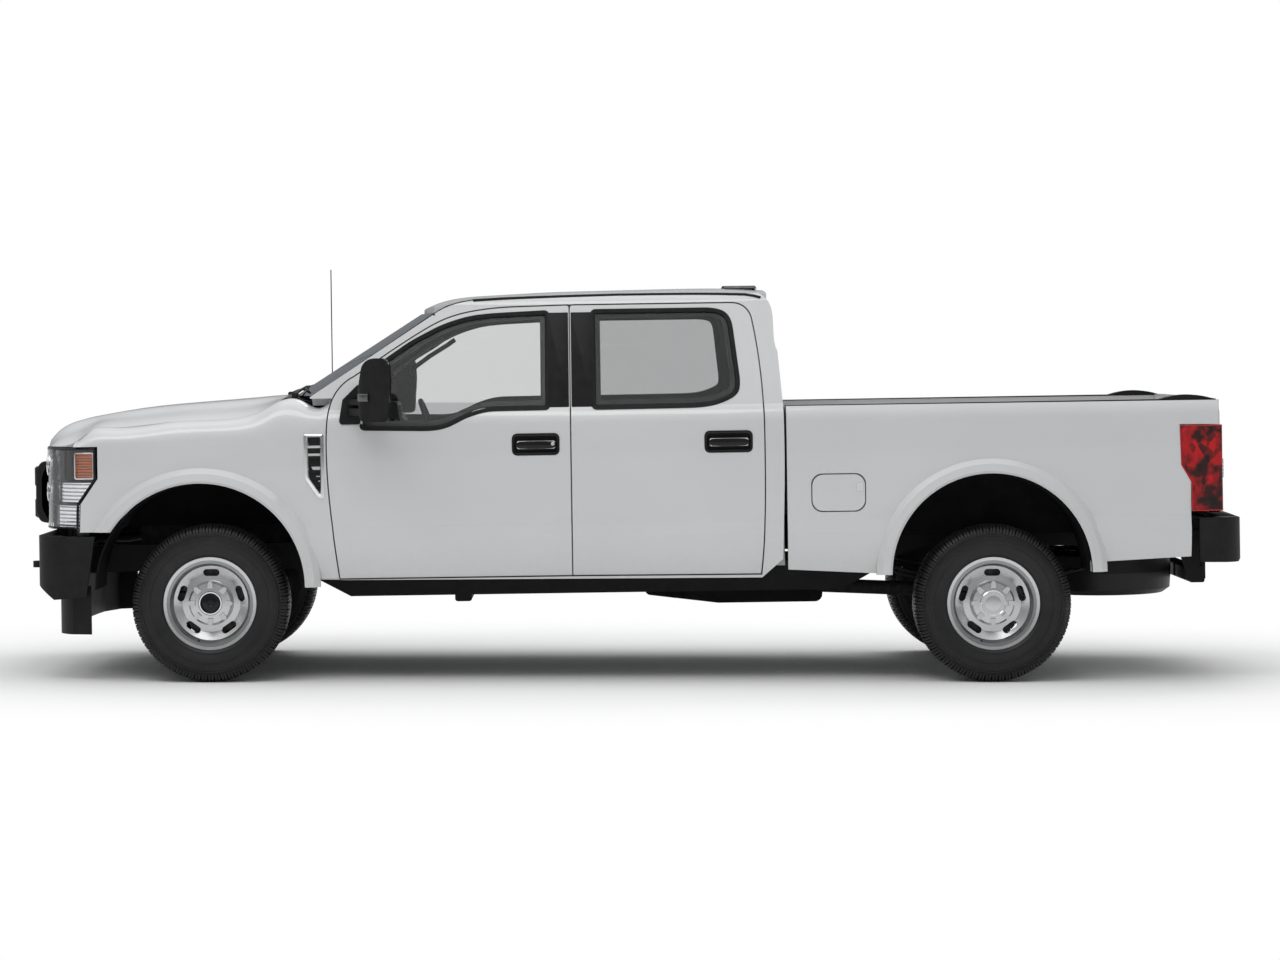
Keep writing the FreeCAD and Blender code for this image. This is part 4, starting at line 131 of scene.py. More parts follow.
class Nodes:
    """A shader node tree with short ways to add and join nodes."""

    def __init__(self, tree):
        self.tree = tree

    def add(self, kind, **values):
        """Adds a node. Each value goes to the node's own setting of that name, or else to its input."""
        made = self.tree.nodes.new("ShaderNode" + kind)
        for key, value in values.items():
            if hasattr(made, key) and key not in made.inputs:
                setattr(made, key, value)
            else:
                made.inputs[key.replace("_", " ")].default_value = value
        return made

    def join(self, a, out, b, into):
        self.tree.links.new(a.outputs[out], b.inputs[into])

    def coords(self, scale=(1, 1, 1)):
        mapping = self.add("Mapping", Scale=scale)
        self.join(self.add("TexCoord"), "Object", mapping, "Vector")
        return mapping

    def noise(self, scale, detail=4, rough=0.55, stretch=(1, 1, 1)):
        made = self.add("TexNoise", Scale=scale, Detail=detail, Roughness=rough)
        self.join(self.coords(stretch), "Vector", made, "Vector")
        return made

    def waves(self, direction, scale, **values):
        made = self.add("TexWave", wave_type="BANDS", bands_direction=direction, Scale=scale, **values)
        self.join(self.coords(), "Vector", made, "Vector")
        return made

    def ramp(self, source, out, stops):
        """Turns a value into a colour. Stops are (place, colour) pairs."""
        made = self.add("ValToRGB")
        points = made.color_ramp.elements
        while len(points) < len(stops):
            points.new(0.5)
        for point, (place, colour) in zip(points, stops):
            point.position = place
            point.color = (*colour, 1)
        self.join(source, out, made, "Fac")
        return made

    def math(self, operation, a, a_out, b, b_out):
        made = self.add("Math", operation=operation)
        self.join(a, a_out, made, 0)
        self.join(b, b_out, made, 1)
        return made

    def cover(self, share, under, over, end):
        """Mixes two shaders by a share, and hands the result to the tree's end."""
        mix = self.add("MixShader")
        for k, source in enumerate((share, under, over)):
            self.join(source, 0, mix, k)
        self.join(mix, 0, self.tree.nodes[end], "Surface")


class Shade(Nodes):
    """A material around one Principled shader."""

    def __init__(self, name):
        self.mat = bpy.data.materials.new(name)
        self.mat.use_nodes = True
        super().__init__(self.mat.node_tree)
        self.bsdf = self.tree.nodes["Principled BSDF"]

    def set(self, **values):
        for key, value in values.items():
            self.bsdf.inputs[key.replace("_", " ")].default_value = value

    def colour(self, source, out, stops):
        self.join(self.ramp(source, out, stops), "Color", self.bsdf, "Base Color")

    def gloss(self, source, low, high):
        made = self.add("MapRange", To_Min=low, To_Max=high)
        self.join(source, "Fac", made, "Value")
        self.join(made, "Result", self.bsdf, "Roughness")

    def bump(self, source, out, strength, distance, under=None):
        made = self.add("Bump", Strength=strength, Distance=distance)
        self.join(source, out, made, "Height")
        if under:
            self.join(under, "Normal", made, "Normal")
        self.join(made, "Normal", self.bsdf, "Normal")
        return made


def mottled(name, dark, light, scale, rough, rough_span, bump_scale, bump, distance=0.0006, metal=0.0,
            spec=0.5):
    """A surface whose colour and gloss wander a little, with a fine bump."""
    m = Shade(name)
    wander = m.noise(scale, 5)
    m.colour(wander, "Fac", [(0.3, dark), (0.72, light)])
    m.gloss(wander, rough, rough + rough_span)
    m.set(Metallic=metal, Specular_IOR_Level=spec)
    m.bump(m.noise(bump_scale, 3), "Fac", bump, distance)
    return m.mat


def make_paint(name, dark, light, dust_share):
    """Light silver-grey paint under a clear coat: fine flake, faint orange peel, and road dust low down."""
    m = Shade(name)
    split = m.add("SeparateXYZ")
    m.join(m.add("TexCoord"), "Object", split, "Vector")
    low = m.add("MapRange", From_Min=0.85, From_Max=0.45)
    m.join(split, "Z", low, "Value")
    speckle = m.ramp(m.noise(26, 6, 0.7), "Fac", [(0.42, grey(0)), (0.75, grey(dust_share))])
    dust = m.math("MULTIPLY", low, "Result", speckle, "Color")
    mix = m.add("Mix", data_type="RGBA")
    mix.inputs[7].default_value = (0.46, 0.44, 0.40, 1)
    m.join(m.ramp(m.noise(1.3, 3), "Fac", [(0.3, dark), (0.7, light)]), "Color", mix, 6)
    m.join(dust, "Value", mix, 0)
    m.join(mix, 2, m.bsdf, "Base Color")
    m.set(Roughness=0.36, Coat_Weight=0.75, Coat_Roughness=0.05, Coat_IOR=1.5)
    flake = m.add("TexVoronoi", Scale=2600.0)
    m.join(m.coords(), "Vector", flake, "Vector")
    first = m.bump(flake, "Distance", 0.05, 0.0002)
    m.bump(m.noise(160, 2), "Fac", 0.05, 0.0005, first)
    return m.mat


def make_tyre():
    m = Shade("tyre_rubber")
    m.colour(m.noise(9, 6, 0.65), "Fac", [(0.3, (0.007, 0.007, 0.0075)), (0.62, (0.013, 0.013, 0.0135)),
                                          (0.85, (0.028, 0.026, 0.024))])
    m.set(Roughness=0.42, Specular_IOR_Level=0.34)
    m.bump(m.noise(420, 3), "Fac", 0.2, 0.0005)
    return m.mat


def make_glass(name, colour, ior=1.45):
    """Thin tinted glass with a faint film on it."""
    m = Shade(name)
    m.set(Base_Color=(*colour, 1), IOR=ior, Transmission_Weight=1.0)
    m.gloss(m.noise(5, 4), 0.0, 0.02)
    m.bump(m.noise(2.2, 2), "Fac", 0.02, 0.002)
    return m.mat


def make_cloth(name, dark, light, thread=520):
    m = Shade(name)
    weave, weft = [m.waves(way, thread, Distortion=1.2, Detail=2) for way in "XZ"]
    both_ways = m.math("MAXIMUM", weave, "Fac", weft, "Fac")
    worn = m.math("MULTIPLY", both_ways, "Value", m.noise(30, 5), "Fac")
    m.colour(worn, "Value", [(0.1, dark), (0.7, light)])
    m.set(Roughness=0.9, Sheen_Weight=0.4, Sheen_Roughness=0.5)
    m.bump(both_ways, "Value", 0.4, 0.0007)
    return m.mat


def make_brushed(name, colour, rough=0.3, stretch=(1, 60, 60), bump=0.06):
    m = Shade(name)
    lines = m.noise(14, 4, 0.6, stretch)
    m.colour(lines, "Fac", [(0.25, dimmed(colour, 0.82)), (0.75, colour)])
    m.gloss(lines, rough, rough + 0.14)
    m.set(Metallic=1.0)
    m.bump(lines, "Fac", bump, 0.0004)
    return m.mat


def make_tail_lens():
    """A red lens over a faceted reflector, with painted shade for the dark hollows where the bulbs sit."""
    m = Shade("red_lens")
    cells = m.add("TexVoronoi", Scale=34.0)
    m.join(m.coords((1, 1, 0.6)), "Vector", cells, "Vector")
    stops = [(0.15, (0.05, 0.0005, 0.001)), (0.45, (0.30, 0.001, 0.003)), (0.8, (0.50, 0.002, 0.005))]
    # Painted shade: dark blotches multiplied into the lens colour for the bulb hollows
    bulb_hollow_painted_shade = m.ramp(m.noise(9.5, 2), "Fac", [(0.4, grey(0.06)), (0.53, grey(1))])
    mix = m.add("Mix", data_type="RGBA", blend_type="MULTIPLY")
    mix.inputs[0].default_value = 1.0
    m.join(m.ramp(cells, "Color", stops), "Color", mix, 6)
    m.join(bulb_hollow_painted_shade, "Color", mix, 7)
    m.join(mix, 2, m.bsdf, "Base Color")
    m.set(Roughness=0.3, Specular_IOR_Level=0.15, Coat_Weight=0.5, Coat_Roughness=0.03)
    m.bump(cells, "Distance", 0.5, 0.002)
    return m.mat


def make_reflector(name, colour, pitch, direction, metal=1.0):
    """A bright surface moulded in fine flutes, with painted shade in the grooves between them."""
    m = Shade(name)
    flutes = m.waves(direction, pitch, Distortion=0.0)
    # The flutes' grooves are painted darker than their ridges: painted shade
    m.colour(flutes, "Fac", [(0.1, dimmed(colour, 0.35)), (0.6, colour)])
    m.set(Metallic=metal, Roughness=0.16, Coat_Weight=0.6, Coat_Roughness=0.03)
    m.bump(flutes, "Fac", 0.8, 0.003)
    return m.mat


# Each finish, by its own short name: the slot that it belongs to, and its material
PLAIN = (1, 1, 1)
FINISHES = {
    "paint": ("paint", make_paint("paint", (0.575, 0.58, 0.585), (0.605, 0.61, 0.613), 0.22)),
    # A darker copy of the body paint for the bed floor, the bed's inner faces, the hood's underside and the
    # wheelhouse walls: painted shade
    "bed": ("paint", make_paint("bed_paint", (0.50, 0.505, 0.51), (0.56, 0.563, 0.565), 0.10)),
    "tyre": ("tyre_rubber", make_tyre()),
    "black": ("trim_black", mottled(
        "black_plastic", (0.007, 0.007, 0.0075), (0.013, 0.013, 0.0135), 18, 0.42, 0.16, 900, 0.22,
        spec=0.2)),
    "black_gloss": ("trim_black", mottled(
        "black_gloss", (0.004, 0.004, 0.0045), (0.008, 0.008, 0.0085), 6, 0.16, 0.1, 300, 0.03, spec=0.3)),
    "rubber": ("trim_black", mottled("seal_rubber", grey(0.010), grey(0.020), 40, 0.6, 0.16, 700, 0.2,
                                     spec=0.15)),
    "chassis": ("chassis_black", mottled(
        "chassis_paint", (0.006, 0.006, 0.0065), (0.016, 0.0155, 0.015), 12, 0.42, 0.3, 240, 0.25, spec=0.2)),
    "liner": ("trim_black", mottled(
        "liner_plastic", grey(0.004), (0.012, 0.0115, 0.011), 10, 0.65, 0.2, 260, 0.4, 0.001, spec=0.1)),
    "wheel": ("wheel_silver", mottled(
        "wheel_silver", (0.56, 0.565, 0.57), (0.60, 0.605, 0.61), 9, 0.24, 0.04, 500, 0.02, metal=0.9)),
    # A darker copy of the wheel silver: painted shade for the rims' recessed channel
    "wheel_dark": ("wheel_silver", mottled(
        "wheel_shaded", (0.26, 0.262, 0.265), (0.32, 0.322, 0.325), 9, 0.26, 0.05, 500, 0.02, metal=0.9)),
    "chrome": ("wheel_silver", make_brushed("chrome", (0.86, 0.87, 0.88), 0.06, PLAIN, 0.01)),
    "steel": ("steel", make_brushed("bare_steel", (0.42, 0.42, 0.43), 0.34)),
    "rust_steel": ("steel", mottled(
        "worn_steel", (0.05, 0.042, 0.037), (0.16, 0.15, 0.145), 30, 0.5, 0.3, 300, 0.35, metal=0.7)),
    "iron": ("cast_iron", mottled(
        "cast_iron", (0.02, 0.02, 0.021), (0.055, 0.054, 0.052), 26, 0.6, 0.25, 180, 0.5, 0.0012, metal=0.3,
        spec=0.25)),
    "glass": ("glazing", make_glass("side_glass", (0.80, 0.81, 0.81))),
    "glass_rear": ("glazing", make_glass("privacy_glass", (0.62, 0.63, 0.63))),
    # The windscreen keeps a faint blue tint of its own; how dark it is, is painted shade for how dark the
    # glass looks from the side
    "screen": ("glazing", make_glass("windscreen_glass_painted_shade", (0.03, 0.075, 0.125), 1.22)),
    "lens": ("lamp_clear", make_glass("clear_lens", (0.96, 0.97, 0.98))),
    "red": ("lamp_red", make_tail_lens()),
    "red_rim": ("lamp_red", mottled(
        "red_border", (0.40, 0.001, 0.004), (0.52, 0.002, 0.006), 10, 0.16, 0.08, 260, 0.02, spec=0.4)),
    "amber": ("lamp_clear", make_reflector("amber_lens", (0.60, 0.115, 0.006), 22, "Z", 0.0)),
    "flutes": ("lamp_clear", make_reflector("lamp_reflector", (0.84, 0.85, 0.86), 16, "Z")),
    "smoke": ("lamp_clear", make_reflector("smoked_marker", (0.16, 0.162, 0.165), 60, "X", 0.6)),
    "mirror": ("glazing", make_brushed("mirror_glass", (0.80, 0.82, 0.84), 0.02, PLAIN, 0.0)),
    "cloth": ("seat_cloth", make_cloth("seat_cloth", (0.035, 0.035, 0.037), (0.12, 0.12, 0.123))),
    "carpet": ("cabin_plastic", make_cloth("carpet", grey(0.012), grey(0.045), 260)),
    "dash": ("cabin_plastic", mottled(
        "cabin_plastic", (0.03, 0.03, 0.031), (0.05, 0.05, 0.052), 16, 0.5, 0.14, 800, 0.3)),
    "trim_grey": ("cabin_plastic", mottled(
        "door_trim", (0.07, 0.07, 0.072), (0.10, 0.10, 0.102), 12, 0.55, 0.14, 700, 0.3)),
    "headliner": ("cabin_plastic", make_cloth("headliner", (0.26, 0.26, 0.255), (0.36, 0.36, 0.35), 420)),
    "plate": ("steel", mottled("blank_plate", (0.62, 0.62, 0.61), (0.68, 0.68, 0.67), 10, 0.4, 0.1, 500,
                               0.05)),
}

# The CAD nodes that stay in view, by how their names start. The rest are painted.
CAD_FINISH = {
    "screen": ("cab_glass",), "glass_rear": ("glass_rear",), "glass": ("glass_",), "wheel": ("rim_",),
    "tyre": ("tyre_", "spare_wheel"), "flutes": ("headlamps",), "red": ("rear_lamps",), "bed": ("bed_floor",),
    "black": ("mirror_", "front_bumper", "rear_bumper", "grille", "bed_rail_caps", "antenna"),
    "chassis": ("ladder_frame", "hitch_receiver", "axles", "springs", "core_support"),
    "iron": ("knuckle", "tie_rod", "powertrain"), "liner": ("wheel_liners", "fuel_tank"),
    "rust_steel": ("exhaust",), "dash": ("dashboard",), "carpet": ("cab_floor",), "cloth": ("seats",),
}


def finish_of(name):
    return next((kind for kind, starts in CAD_FINISH.items() if name.startswith(starts)), "paint")


def repaint(name, **rules):
    """Gives a CAD node more finishes, face by face. Each rule says where its finish goes, by a face's middle
    and direction, and the first that holds wins."""
    mesh = NODES[name].data
    kinds = [finish_of(name)]
    for face in mesh.polygons:
        spot = (*body_point(face.center), face.normal)
        kind = next((kind for kind, rule in rules.items() if rule(*spot)), kinds[0])
        if kind not in kinds:
            kinds.append(kind)
            mesh.materials.append(FINISHES[kind][1])
        face.material_index = kinds.index(kind)


def in_arch(x, z):
    return any(math.hypot(x - cx, z - cz) < r + 1.5 for cx, cz, r in (FRONT_ARCH, REAR_ARCH))


def inboard(y, n):
    return n.y * (1 if y > 0 else -1) < -0.35


def cabin_lined(y, z, n, depth):
    """Whether a face of the cab's side looks into the cabin from more than a depth inside the skin."""
    return inboard(y, n) and abs(y) < skin_y(z) - depth


for name, obj in NODES.items():
    obj.data.materials.clear()
    obj.data.materials.append(FINISHES[finish_of(name)][1])
for name in WHEELS:
    repaint("door_" + name, trim_grey=lambda x, y, z, n: cabin_lined(y, z, n, 30))
repaint("cab_sides", liner=lambda x, y, z, n: n.z < -0.5 and z < 620,
        trim_grey=lambda x, y, z, n: cabin_lined(y, z, n, 60) and x > DOOR_X - 40)
repaint("cab_roof", headliner=lambda x, y, z, n: n.z < -0.4)
repaint("cab_back", trim_grey=lambda x, y, z, n: n.x < -0.4)
repaint("cab_floor", liner=lambda x, y, z, n: n.z < -0.3 or x < DOOR_X - 10)
repaint("fenders", liner=lambda x, y, z, n: inboard(y, n) or in_arch(x, z) or (n.z < -0.6 and z < 1000))
# The bed sides' inner faces take the darker copy of the paint, as painted shade
repaint("bed_sides", liner=lambda x, y, z, n: in_arch(x, z) or (n.z < -0.6 and z < BED_FLOOR) or
        (abs(y) < 940 and z < BED_FLOOR - 3 and abs(n.z) < 0.7), bed=lambda x, y, z, n: abs(y) < 930)
repaint("bed_floor", liner=lambda x, y, z, n: n.z < -0.3 or z < BED_FLOOR - 25)
# The hood's underside takes the darker copy of the paint, as painted shade
repaint("hood", bed=lambda x, y, z, n: n.z < -0.3)
repaint("rear_lamps", black=lambda x, y, z, n: z > 1500)
# The channel between each rim's flange and disc takes the darker wheel silver as painted shade
for name, centre in WHEELS.items():
    cx, cy, cz = body_point(centre)
    repaint("rim_" + name, wheel_dark=lambda x, y, z, n: 190 < math.hypot(x - cx, z - cz) < 226)
repaint("spare_wheel", wheel=lambda x, y, z, n: math.hypot(x - BED_END + 480, y) < 238)


# Geometry helpers
def placed(name, data):
    obj = bpy.data.objects.new(name, data)
    SCENE.collection.objects.link(obj)
    return obj


class Shape:
    """Gathers the faces of one piece and makes its object. Points go through to() into row-frame metres."""

    def __init__(self, kind, to=at):
        self.to = to
        self.points = []
        self.faces = []
        self.finish = []
        self.kinds = [kind]
        self.now = 0

    def use(self, kind):
        """Sets the finish of the faces that follow."""
        if kind not in self.kinds:
            self.kinds.append(kind)
        self.now = self.kinds.index(kind)
        return self

    def rings(self, rings, around=True, ends=True, loop=False):
        """Skins a run of rings. Each is a closed loop if around, and the run closes on itself if loop."""
        base, n = len(self.points), len(rings[0])
        for ring in rings:
            self.points += [self.to(*p) for p in ring]
        for i in range(len(rings) if loop else len(rings) - 1):
            a, b = base + i * n, base + (i + 1) % len(rings) * n
            for j in range(n if around else n - 1):
                k = (j + 1) % n
                self.faces.append((a + j, a + k, b + k, b + j))
                self.finish.append(self.now)
        if ends and around and not loop:
            last = base + (len(rings) - 1) * n
            self.faces += [tuple(range(base, base + n)), tuple(range(last, last + n))]
            self.finish += [self.now, self.now]
        return self

    def sheet(self, rows):
        """An open surface through rows of points."""
        return self.rings(rows, around=False, ends=False)

    def slab(self, loop, *sections):
        """Carries an (x, z) loop across the truck. Each section is a y, and how much the loop grows there."""
        return self.rings([[(x, y, z) for x, z in offset(loop, out)] for y, out in sections])

    def plate(self, loop, low, high):
        """A plate that lies on the body side between two heights over it, with a softened rim."""
        edge = 1.2
        return self.rings([[(x, skin_y(z) + proud, z) for x, z in offset(loop, out)]
                           for proud, out in ((low, 0), (high - edge, 0), (high, -edge))])

    def band(self, loop, section, surface=skin_y):
        """A closed moulding along a loop on the body side. The section is (outward, proud) pairs."""
        return self.rings([[(x, surface(z) + proud, z) for x, z in offset(loop, out)]
                           for out, proud in section],
                          ends=False, loop=True)

    def box(self, x0, x1, y0, y1, z0, z1, edge):
        """A block with softened edges all round."""
        rings = []
        for z, cut in ((z0, edge), (z0 + edge, 0), (z1 - edge, 0), (z1, edge)):
            xa, xb, ya, yb = x0 + cut, x1 - cut, y0 + cut, y1 - cut
            rings.append([(xa + edge, ya, z), (xb - edge, ya, z), (xb, ya + edge, z), (xb, yb - edge, z),
                          (xb - edge, yb, z), (xa + edge, yb, z), (xa, yb - edge, z), (xa, ya + edge, z)])
        return self.rings(rings)

    def tube(self, path, radius, sides=10, loop=False):
        """A round bar along a path. radius may be a list, one for each point."""
        path = [Vector(p) for p in path]
        last = len(path) - 1
        radii = radius if isinstance(radius, list) else [radius] * len(path)
        rings = []
        side = None
        for i, p in enumerate(path):
            before, after = (i - 1, (i + 1) % len(path)) if loop else (max(0, i - 1), min(last, i + 1))
            way = (path[after] - path[before]).normalized()
            if side is None:
                side = way.orthogonal().normalized()
            side = (side - way * side.dot(way)).normalized()
            up = way.cross(side)
            rings.append([tuple(p + radii[i] * (side * math.cos(a) + up * math.sin(a)))
                          for a in [2 * math.pi * k / sides for k in range(sides)]])
        return self.rings(rings, loop=loop)

    def turn(self, profile, centre, steps=48, axis="Y", closed=True):
        """Revolves (radius, along) pairs about an axis through a centre."""
        cx, cy, cz = centre
        rings = []
        for i in range(steps):
            a = 2 * math.pi * i / steps
            ring = []
            for r, h in profile:
                u, v = r * math.cos(a), r * math.sin(a)
                dx, dy, dz = {"X": (h, u, v), "Y": (u, h, v), "Z": (u, v, h)}[axis]
                ring.append((cx + dx, cy + dy, cz + dz))
            rings.append(ring)
        return self.rings(rings, around=closed, ends=False, loop=True)

    def make(self, name, body="chassis", smooth=38):
        """Makes the piece, smooth up to an angle, and lets it ride on a body."""
        mesh = bpy.data.meshes.new(name)
        mesh.from_pydata([tuple(p) for p in self.points], [], self.faces)
        for kind in self.kinds:
            mesh.materials.append(FINISHES[kind][1])
        mesh.polygons.foreach_set("material_index", self.finish)
        bm = bmesh.new()
        bm.from_mesh(mesh)
        bmesh.ops.remove_doubles(bm, verts=bm.verts, dist=1e-6)
        bmesh.ops.recalc_face_normals(bm, faces=bm.faces)
        for face in bm.faces:
            face.smooth = True
        for edge in bm.edges:
            if len(edge.link_faces) == 2 and edge.calc_face_angle(0) > math.radians(smooth):
                edge.smooth = False
        bm.to_mesh(mesh)
        bm.free()
        obj = placed(name, mesh)
        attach(obj, body)
        return obj


def both(name, kind, body="chassis", **options):
    """Hands out an empty piece for each side of the truck in turn, and makes it once its faces are in."""
    for side, sign in SIDES:
        piece = Shape(kind, outward(sign))
        piece.sign = sign
        yield piece
        piece.make(f"{name}_{side}", body + side if body.endswith("_") else body, **options)


def offset(loop, by):
    """An (x, z) loop moved outward by a distance."""
    area = sum(a[0] * b[1] - b[0] * a[1] for a, b in zip(loop, loop[1:] + loop[:1]))
    way = 1 if area > 0 else -1
    moved = []
    for i, (x, z) in enumerate(loop):
        ax, az = loop[i - 1]
        bx, bz = loop[(i + 1) % len(loop)]
        e0 = Vector((x - ax, z - az)).normalized()
        e1 = Vector((bx - x, bz - z)).normalized()
        n = Vector((e0.y + e1.y, -e0.x - e1.x)) * way
        n.normalize()
        spread = max(0.5, n.dot(Vector((e0.y, -e0.x)) * way))
        moved.append((x + n.x * by / spread, z + n.y * by / spread))
    return moved


def rounded(points, radius=12, steps=4):
    """A closed loop with its corners rounded. A third number in a point is that corner's own radius."""
    loop = []
    for i, point in enumerate(points):
        p = Vector(point[:2])
        r = point[2] if len(point) > 2 else radius
        a, b = Vector(points[i - 1][:2]), Vector(points[(i + 1) % len(points)][:2])
        start = p + (a - p).normalized() * min(r, 0.48 * (a - p).length)
        end = p + (b - p).normalized() * min(r, 0.48 * (b - p).length)
        for k in range(steps + 1):
            t = k / steps
            q = start * (1 - t) ** 2 + p * 2 * t * (1 - t) + end * t ** 2
            loop.append((q.x, q.y))
    return loop


def back_from(x0, points):
    """Points moved back along the truck to a station."""
    return [(x0 + p[0], *p[1:]) for p in points]


def box_loop(x0, x1, z0, z1, radius):
    return rounded([(x0, z0), (x1, z0), (x1, z1), (x0, z1)], radius)


def arch_loop(arch, radius, foot, steps, inset=0):
    """The arc of a wheel arch down to a foot's height, closed by a straight foot."""
    cx, cz, _ = arch
    start = math.asin((foot - cz) / radius)
    r = radius - inset
    return [(cx + r * math.cos(a), cz + r * math.sin(a)) for a in spaced(start, math.pi - start, steps)]


# Window seals with the doors' inner frames, black pillar covers, and drip rails
FRONT_WINDOW = rounded([(808, 1307, 14), (1182, 1299, 60), (1262, 1321, 50), (1347, 1367, 60),
                        (1452, 1397, 50), (1764, 1399, 12), (1764, 1885, 14), (1471, 1873, 60),
                        (1359, 1861, 60), (1222, 1819, 60), (1062, 1736, 40), (808, 1562, 8)])
REAR_WINDOW = rounded([(2009, 1397, 14), (2554, 1400, 60), (2644, 1413, 60), (2740, 1455, 50),
                       (2752, 1509, 40), (2716, 1827, 40), (2688, 1871, 40), (2624, 1887, 40),
                       (2009, 1887, 14)])
SEAL = [(17, 0.2), (16, 2.2), (4, 3.0), (-4, 1.0), (-9, -11.6), (-2, -11.6)]
INNER_FRAME = [(1, -20), (-30, -22), (-34, -27), (-30, -34), (1, -48)]
for end, loop, cover_x0, cover_x1 in (("front", FRONT_WINDOW, 1768, 1877), ("rear", REAR_WINDOW, 1891, 2005)):
    for seal in both(f"window_seal_{end}", "rubber", f"door_{end}_"):
        seal.band(loop, SEAL)
        seal.use("dash").band(loop, INNER_FRAME)
    for cover in both(f"pillar_cover_{end}", "black", f"door_{end}_"):
        cover.plate(box_loop(cover_x0, cover_x1, BELT - 2, WINDOW_TOP + 1, 4), 0.1, 3.2)

# The drip rail over the doors, laid where the cab's side turns into the roof
DRIP = [(1175, 1885), (1205, 1908), (1241, 1926), (1310, 1946), (1388, 1958), (1540, 1965), (1692, 1969),
        (1900, 1973), (2121, 1976), (2340, 1976), (2541, 1975), (2680, 1972), (2802, 1968), (2850, 1961),
        (2885, 1951)]
CAB_SKIN = []
for node in ("cab_sides", "cab_roof"):
    mesh = NODES[node].data
    CAB_SKIN.append(BVHTree.FromPolygons([v.co.copy() for v in mesh.vertices],
                                         [tuple(p.vertices) for p in mesh.polygons]))


def cab_surface(x, z, sign):
    """How far out the cab lies at a body point, looked at from the side."""
    start, way = at(x, sign * 1400, z), Vector((0, -sign, 0))
    hits = [tree.ray_cast(start, way)[0] for tree in CAB_SKIN]
    return max((abs(hit.y) * 1000 for hit in hits if hit and abs(hit.y) > 0.6), default=735)


for rail in both("drip_rail", "rubber"):
    rail.tube([(x, cab_surface(x, z, rail.sign) + 1, z) for x, z in DRIP], 8, 8)

# Door handles: a bezel, a dark cup behind, and the grip over the metal handle
HANDLE_Y = 979.5
GRIP_HALF = 22.5
for end, x0, x1 in (("front", PILLAR_X - 297, PILLAR_X - 67), ("rear", QUARTER_X - 301, QUARTER_X - 68)):
    for grip in both(f"handle_{end}", "black_gloss", f"door_{end}_"):
        loop = box_loop(x0, x1, SHOULDER - 145, SHOULDER - 48, 22)
        grip.band(loop, [(9, 0.4), (8, 3.5), (1, 4.5), (-5, 2.0), (-7, -25), (-1, -25)], lambda z: HANDLE_Y)
        grip.use("black").slab(loop, (953.2, 0), (954.8, 0))
        z = SHOULDER - 98.5
        run = []
        for x, full in ((x0 + 15, 0.55), (x0 + 19, 0.8), (x0 + 32, 0.96), (x0 + 80, 1.0), (x1 - 70, 1.0),
                        (x1 - 30, 0.96), (x1 - 15, 0.8), (x1 - 11, 0.55)):
            half, y = GRIP_HALF * full, 984 + 8 * full
            run.append([(x, 958, z - half), (x, y, z - half), (x, y + 4, z - half * 0.6),
                        (x, y + 5, z + half * 0.3), (x, y, z + half), (x, 958, z + half)])
        grip.use("black_gloss").rings(run)
        if end == "front":
            lock = [(0.5, 0), (8.5, 0), (9.5, -1.2), (9.5, -5), (0.5, -5)]
            grip.use("chrome").turn(lock, (x1 - 27, 998.6, SHOULDER - 94), 20)

# Fender vents: a bright frame round a black louvred inset
VENT = rounded([(505, 1275, 12), (602, 1273, 8), (602, 945, 8), (576, 949, 12), (511, 1045, 16)])
for vent in both("fender_vent", "chrome"):
    vent.band(VENT, [(3, -1), (3, 3), (-2, 7), (-12, 7.5), (-17, 2), (-17, -4)])
    vent.use("black").plate(offset(VENT, -10), -6, -2.4)
    for z in range(1232, 1000, -36):
        y = skin_y(z)
        front = 526 + max(0, 1050 - z) * 0.7
        vent.rings([[(x, y - 3, z), (x, y + 2, z + 3), (x, y + 3, z - 12), (x, y - 3, z - 16)]
                    for x in (front, 588)])

# Fuel door latch, on the left side only
latch = Shape("plate", outward(-1))
latch.plate(box_loop(3358, 3392, 942, 984, 9), 0.2, 3.5)
latch.make("fuel_door_latch", "fuel_door")

# Mirrors: the two glasses, and a marker lamp round the outer front corner
for glass in both("mirror_glass", "mirror", "door_front_"):
    for z0, z1, x in ((1449, 1642, 963.4), (1363, 1429, 953.4)):
        loop = box_loop(1192, 1325, z0, z1, 16)
        glass.rings([[(x + h, y, z) for y, z in offset(loop, out)] for h, out in ((0, 0), (2, 0), (3, -2))])
MARKER_ROWS = ((87.5, 1445), (90.0, 1448), (90.6, 1452), (90.6, 1478), (90.0, 1482), (87.5, 1485))
for marker in both("mirror_marker", "smoke", "door_front_"):
    turns = [math.radians(a) for a in range(12, 72, 4)]
    marker.sheet([[(894.4 - r * math.cos(a), 1258.5 + r * math.sin(a), z) for a in turns]
                  for r, z in MARKER_ROWS])

# Headlamps: fluted reflectors with an amber marker under a clear shell, in a bright and a black frame
LAMP_FRONT, LAMP_END = NOSE + 62, NOSE + 362
LAMP_PLAN = back_from(NOSE, [(62, 570), (70, 650), (88, 745), (120, 820), (170, 880), (206, 914), (250, 945),
                             (300, 960), (362, 973)])
LAMP_REAR = [(803, NOSE + 266), (928, NOSE + 270), (1056, NOSE + 363), (1219, NOSE + 363)]
LAMP_HEIGHTS = [806, 840, 875, 910, 928, 960, 992, 1024, 1056, 1090, 1130, 1170, 1216]
LAMP_LOW, LAMP_TOP = LAMP_HEIGHTS[0], LAMP_HEIGHTS[-1]


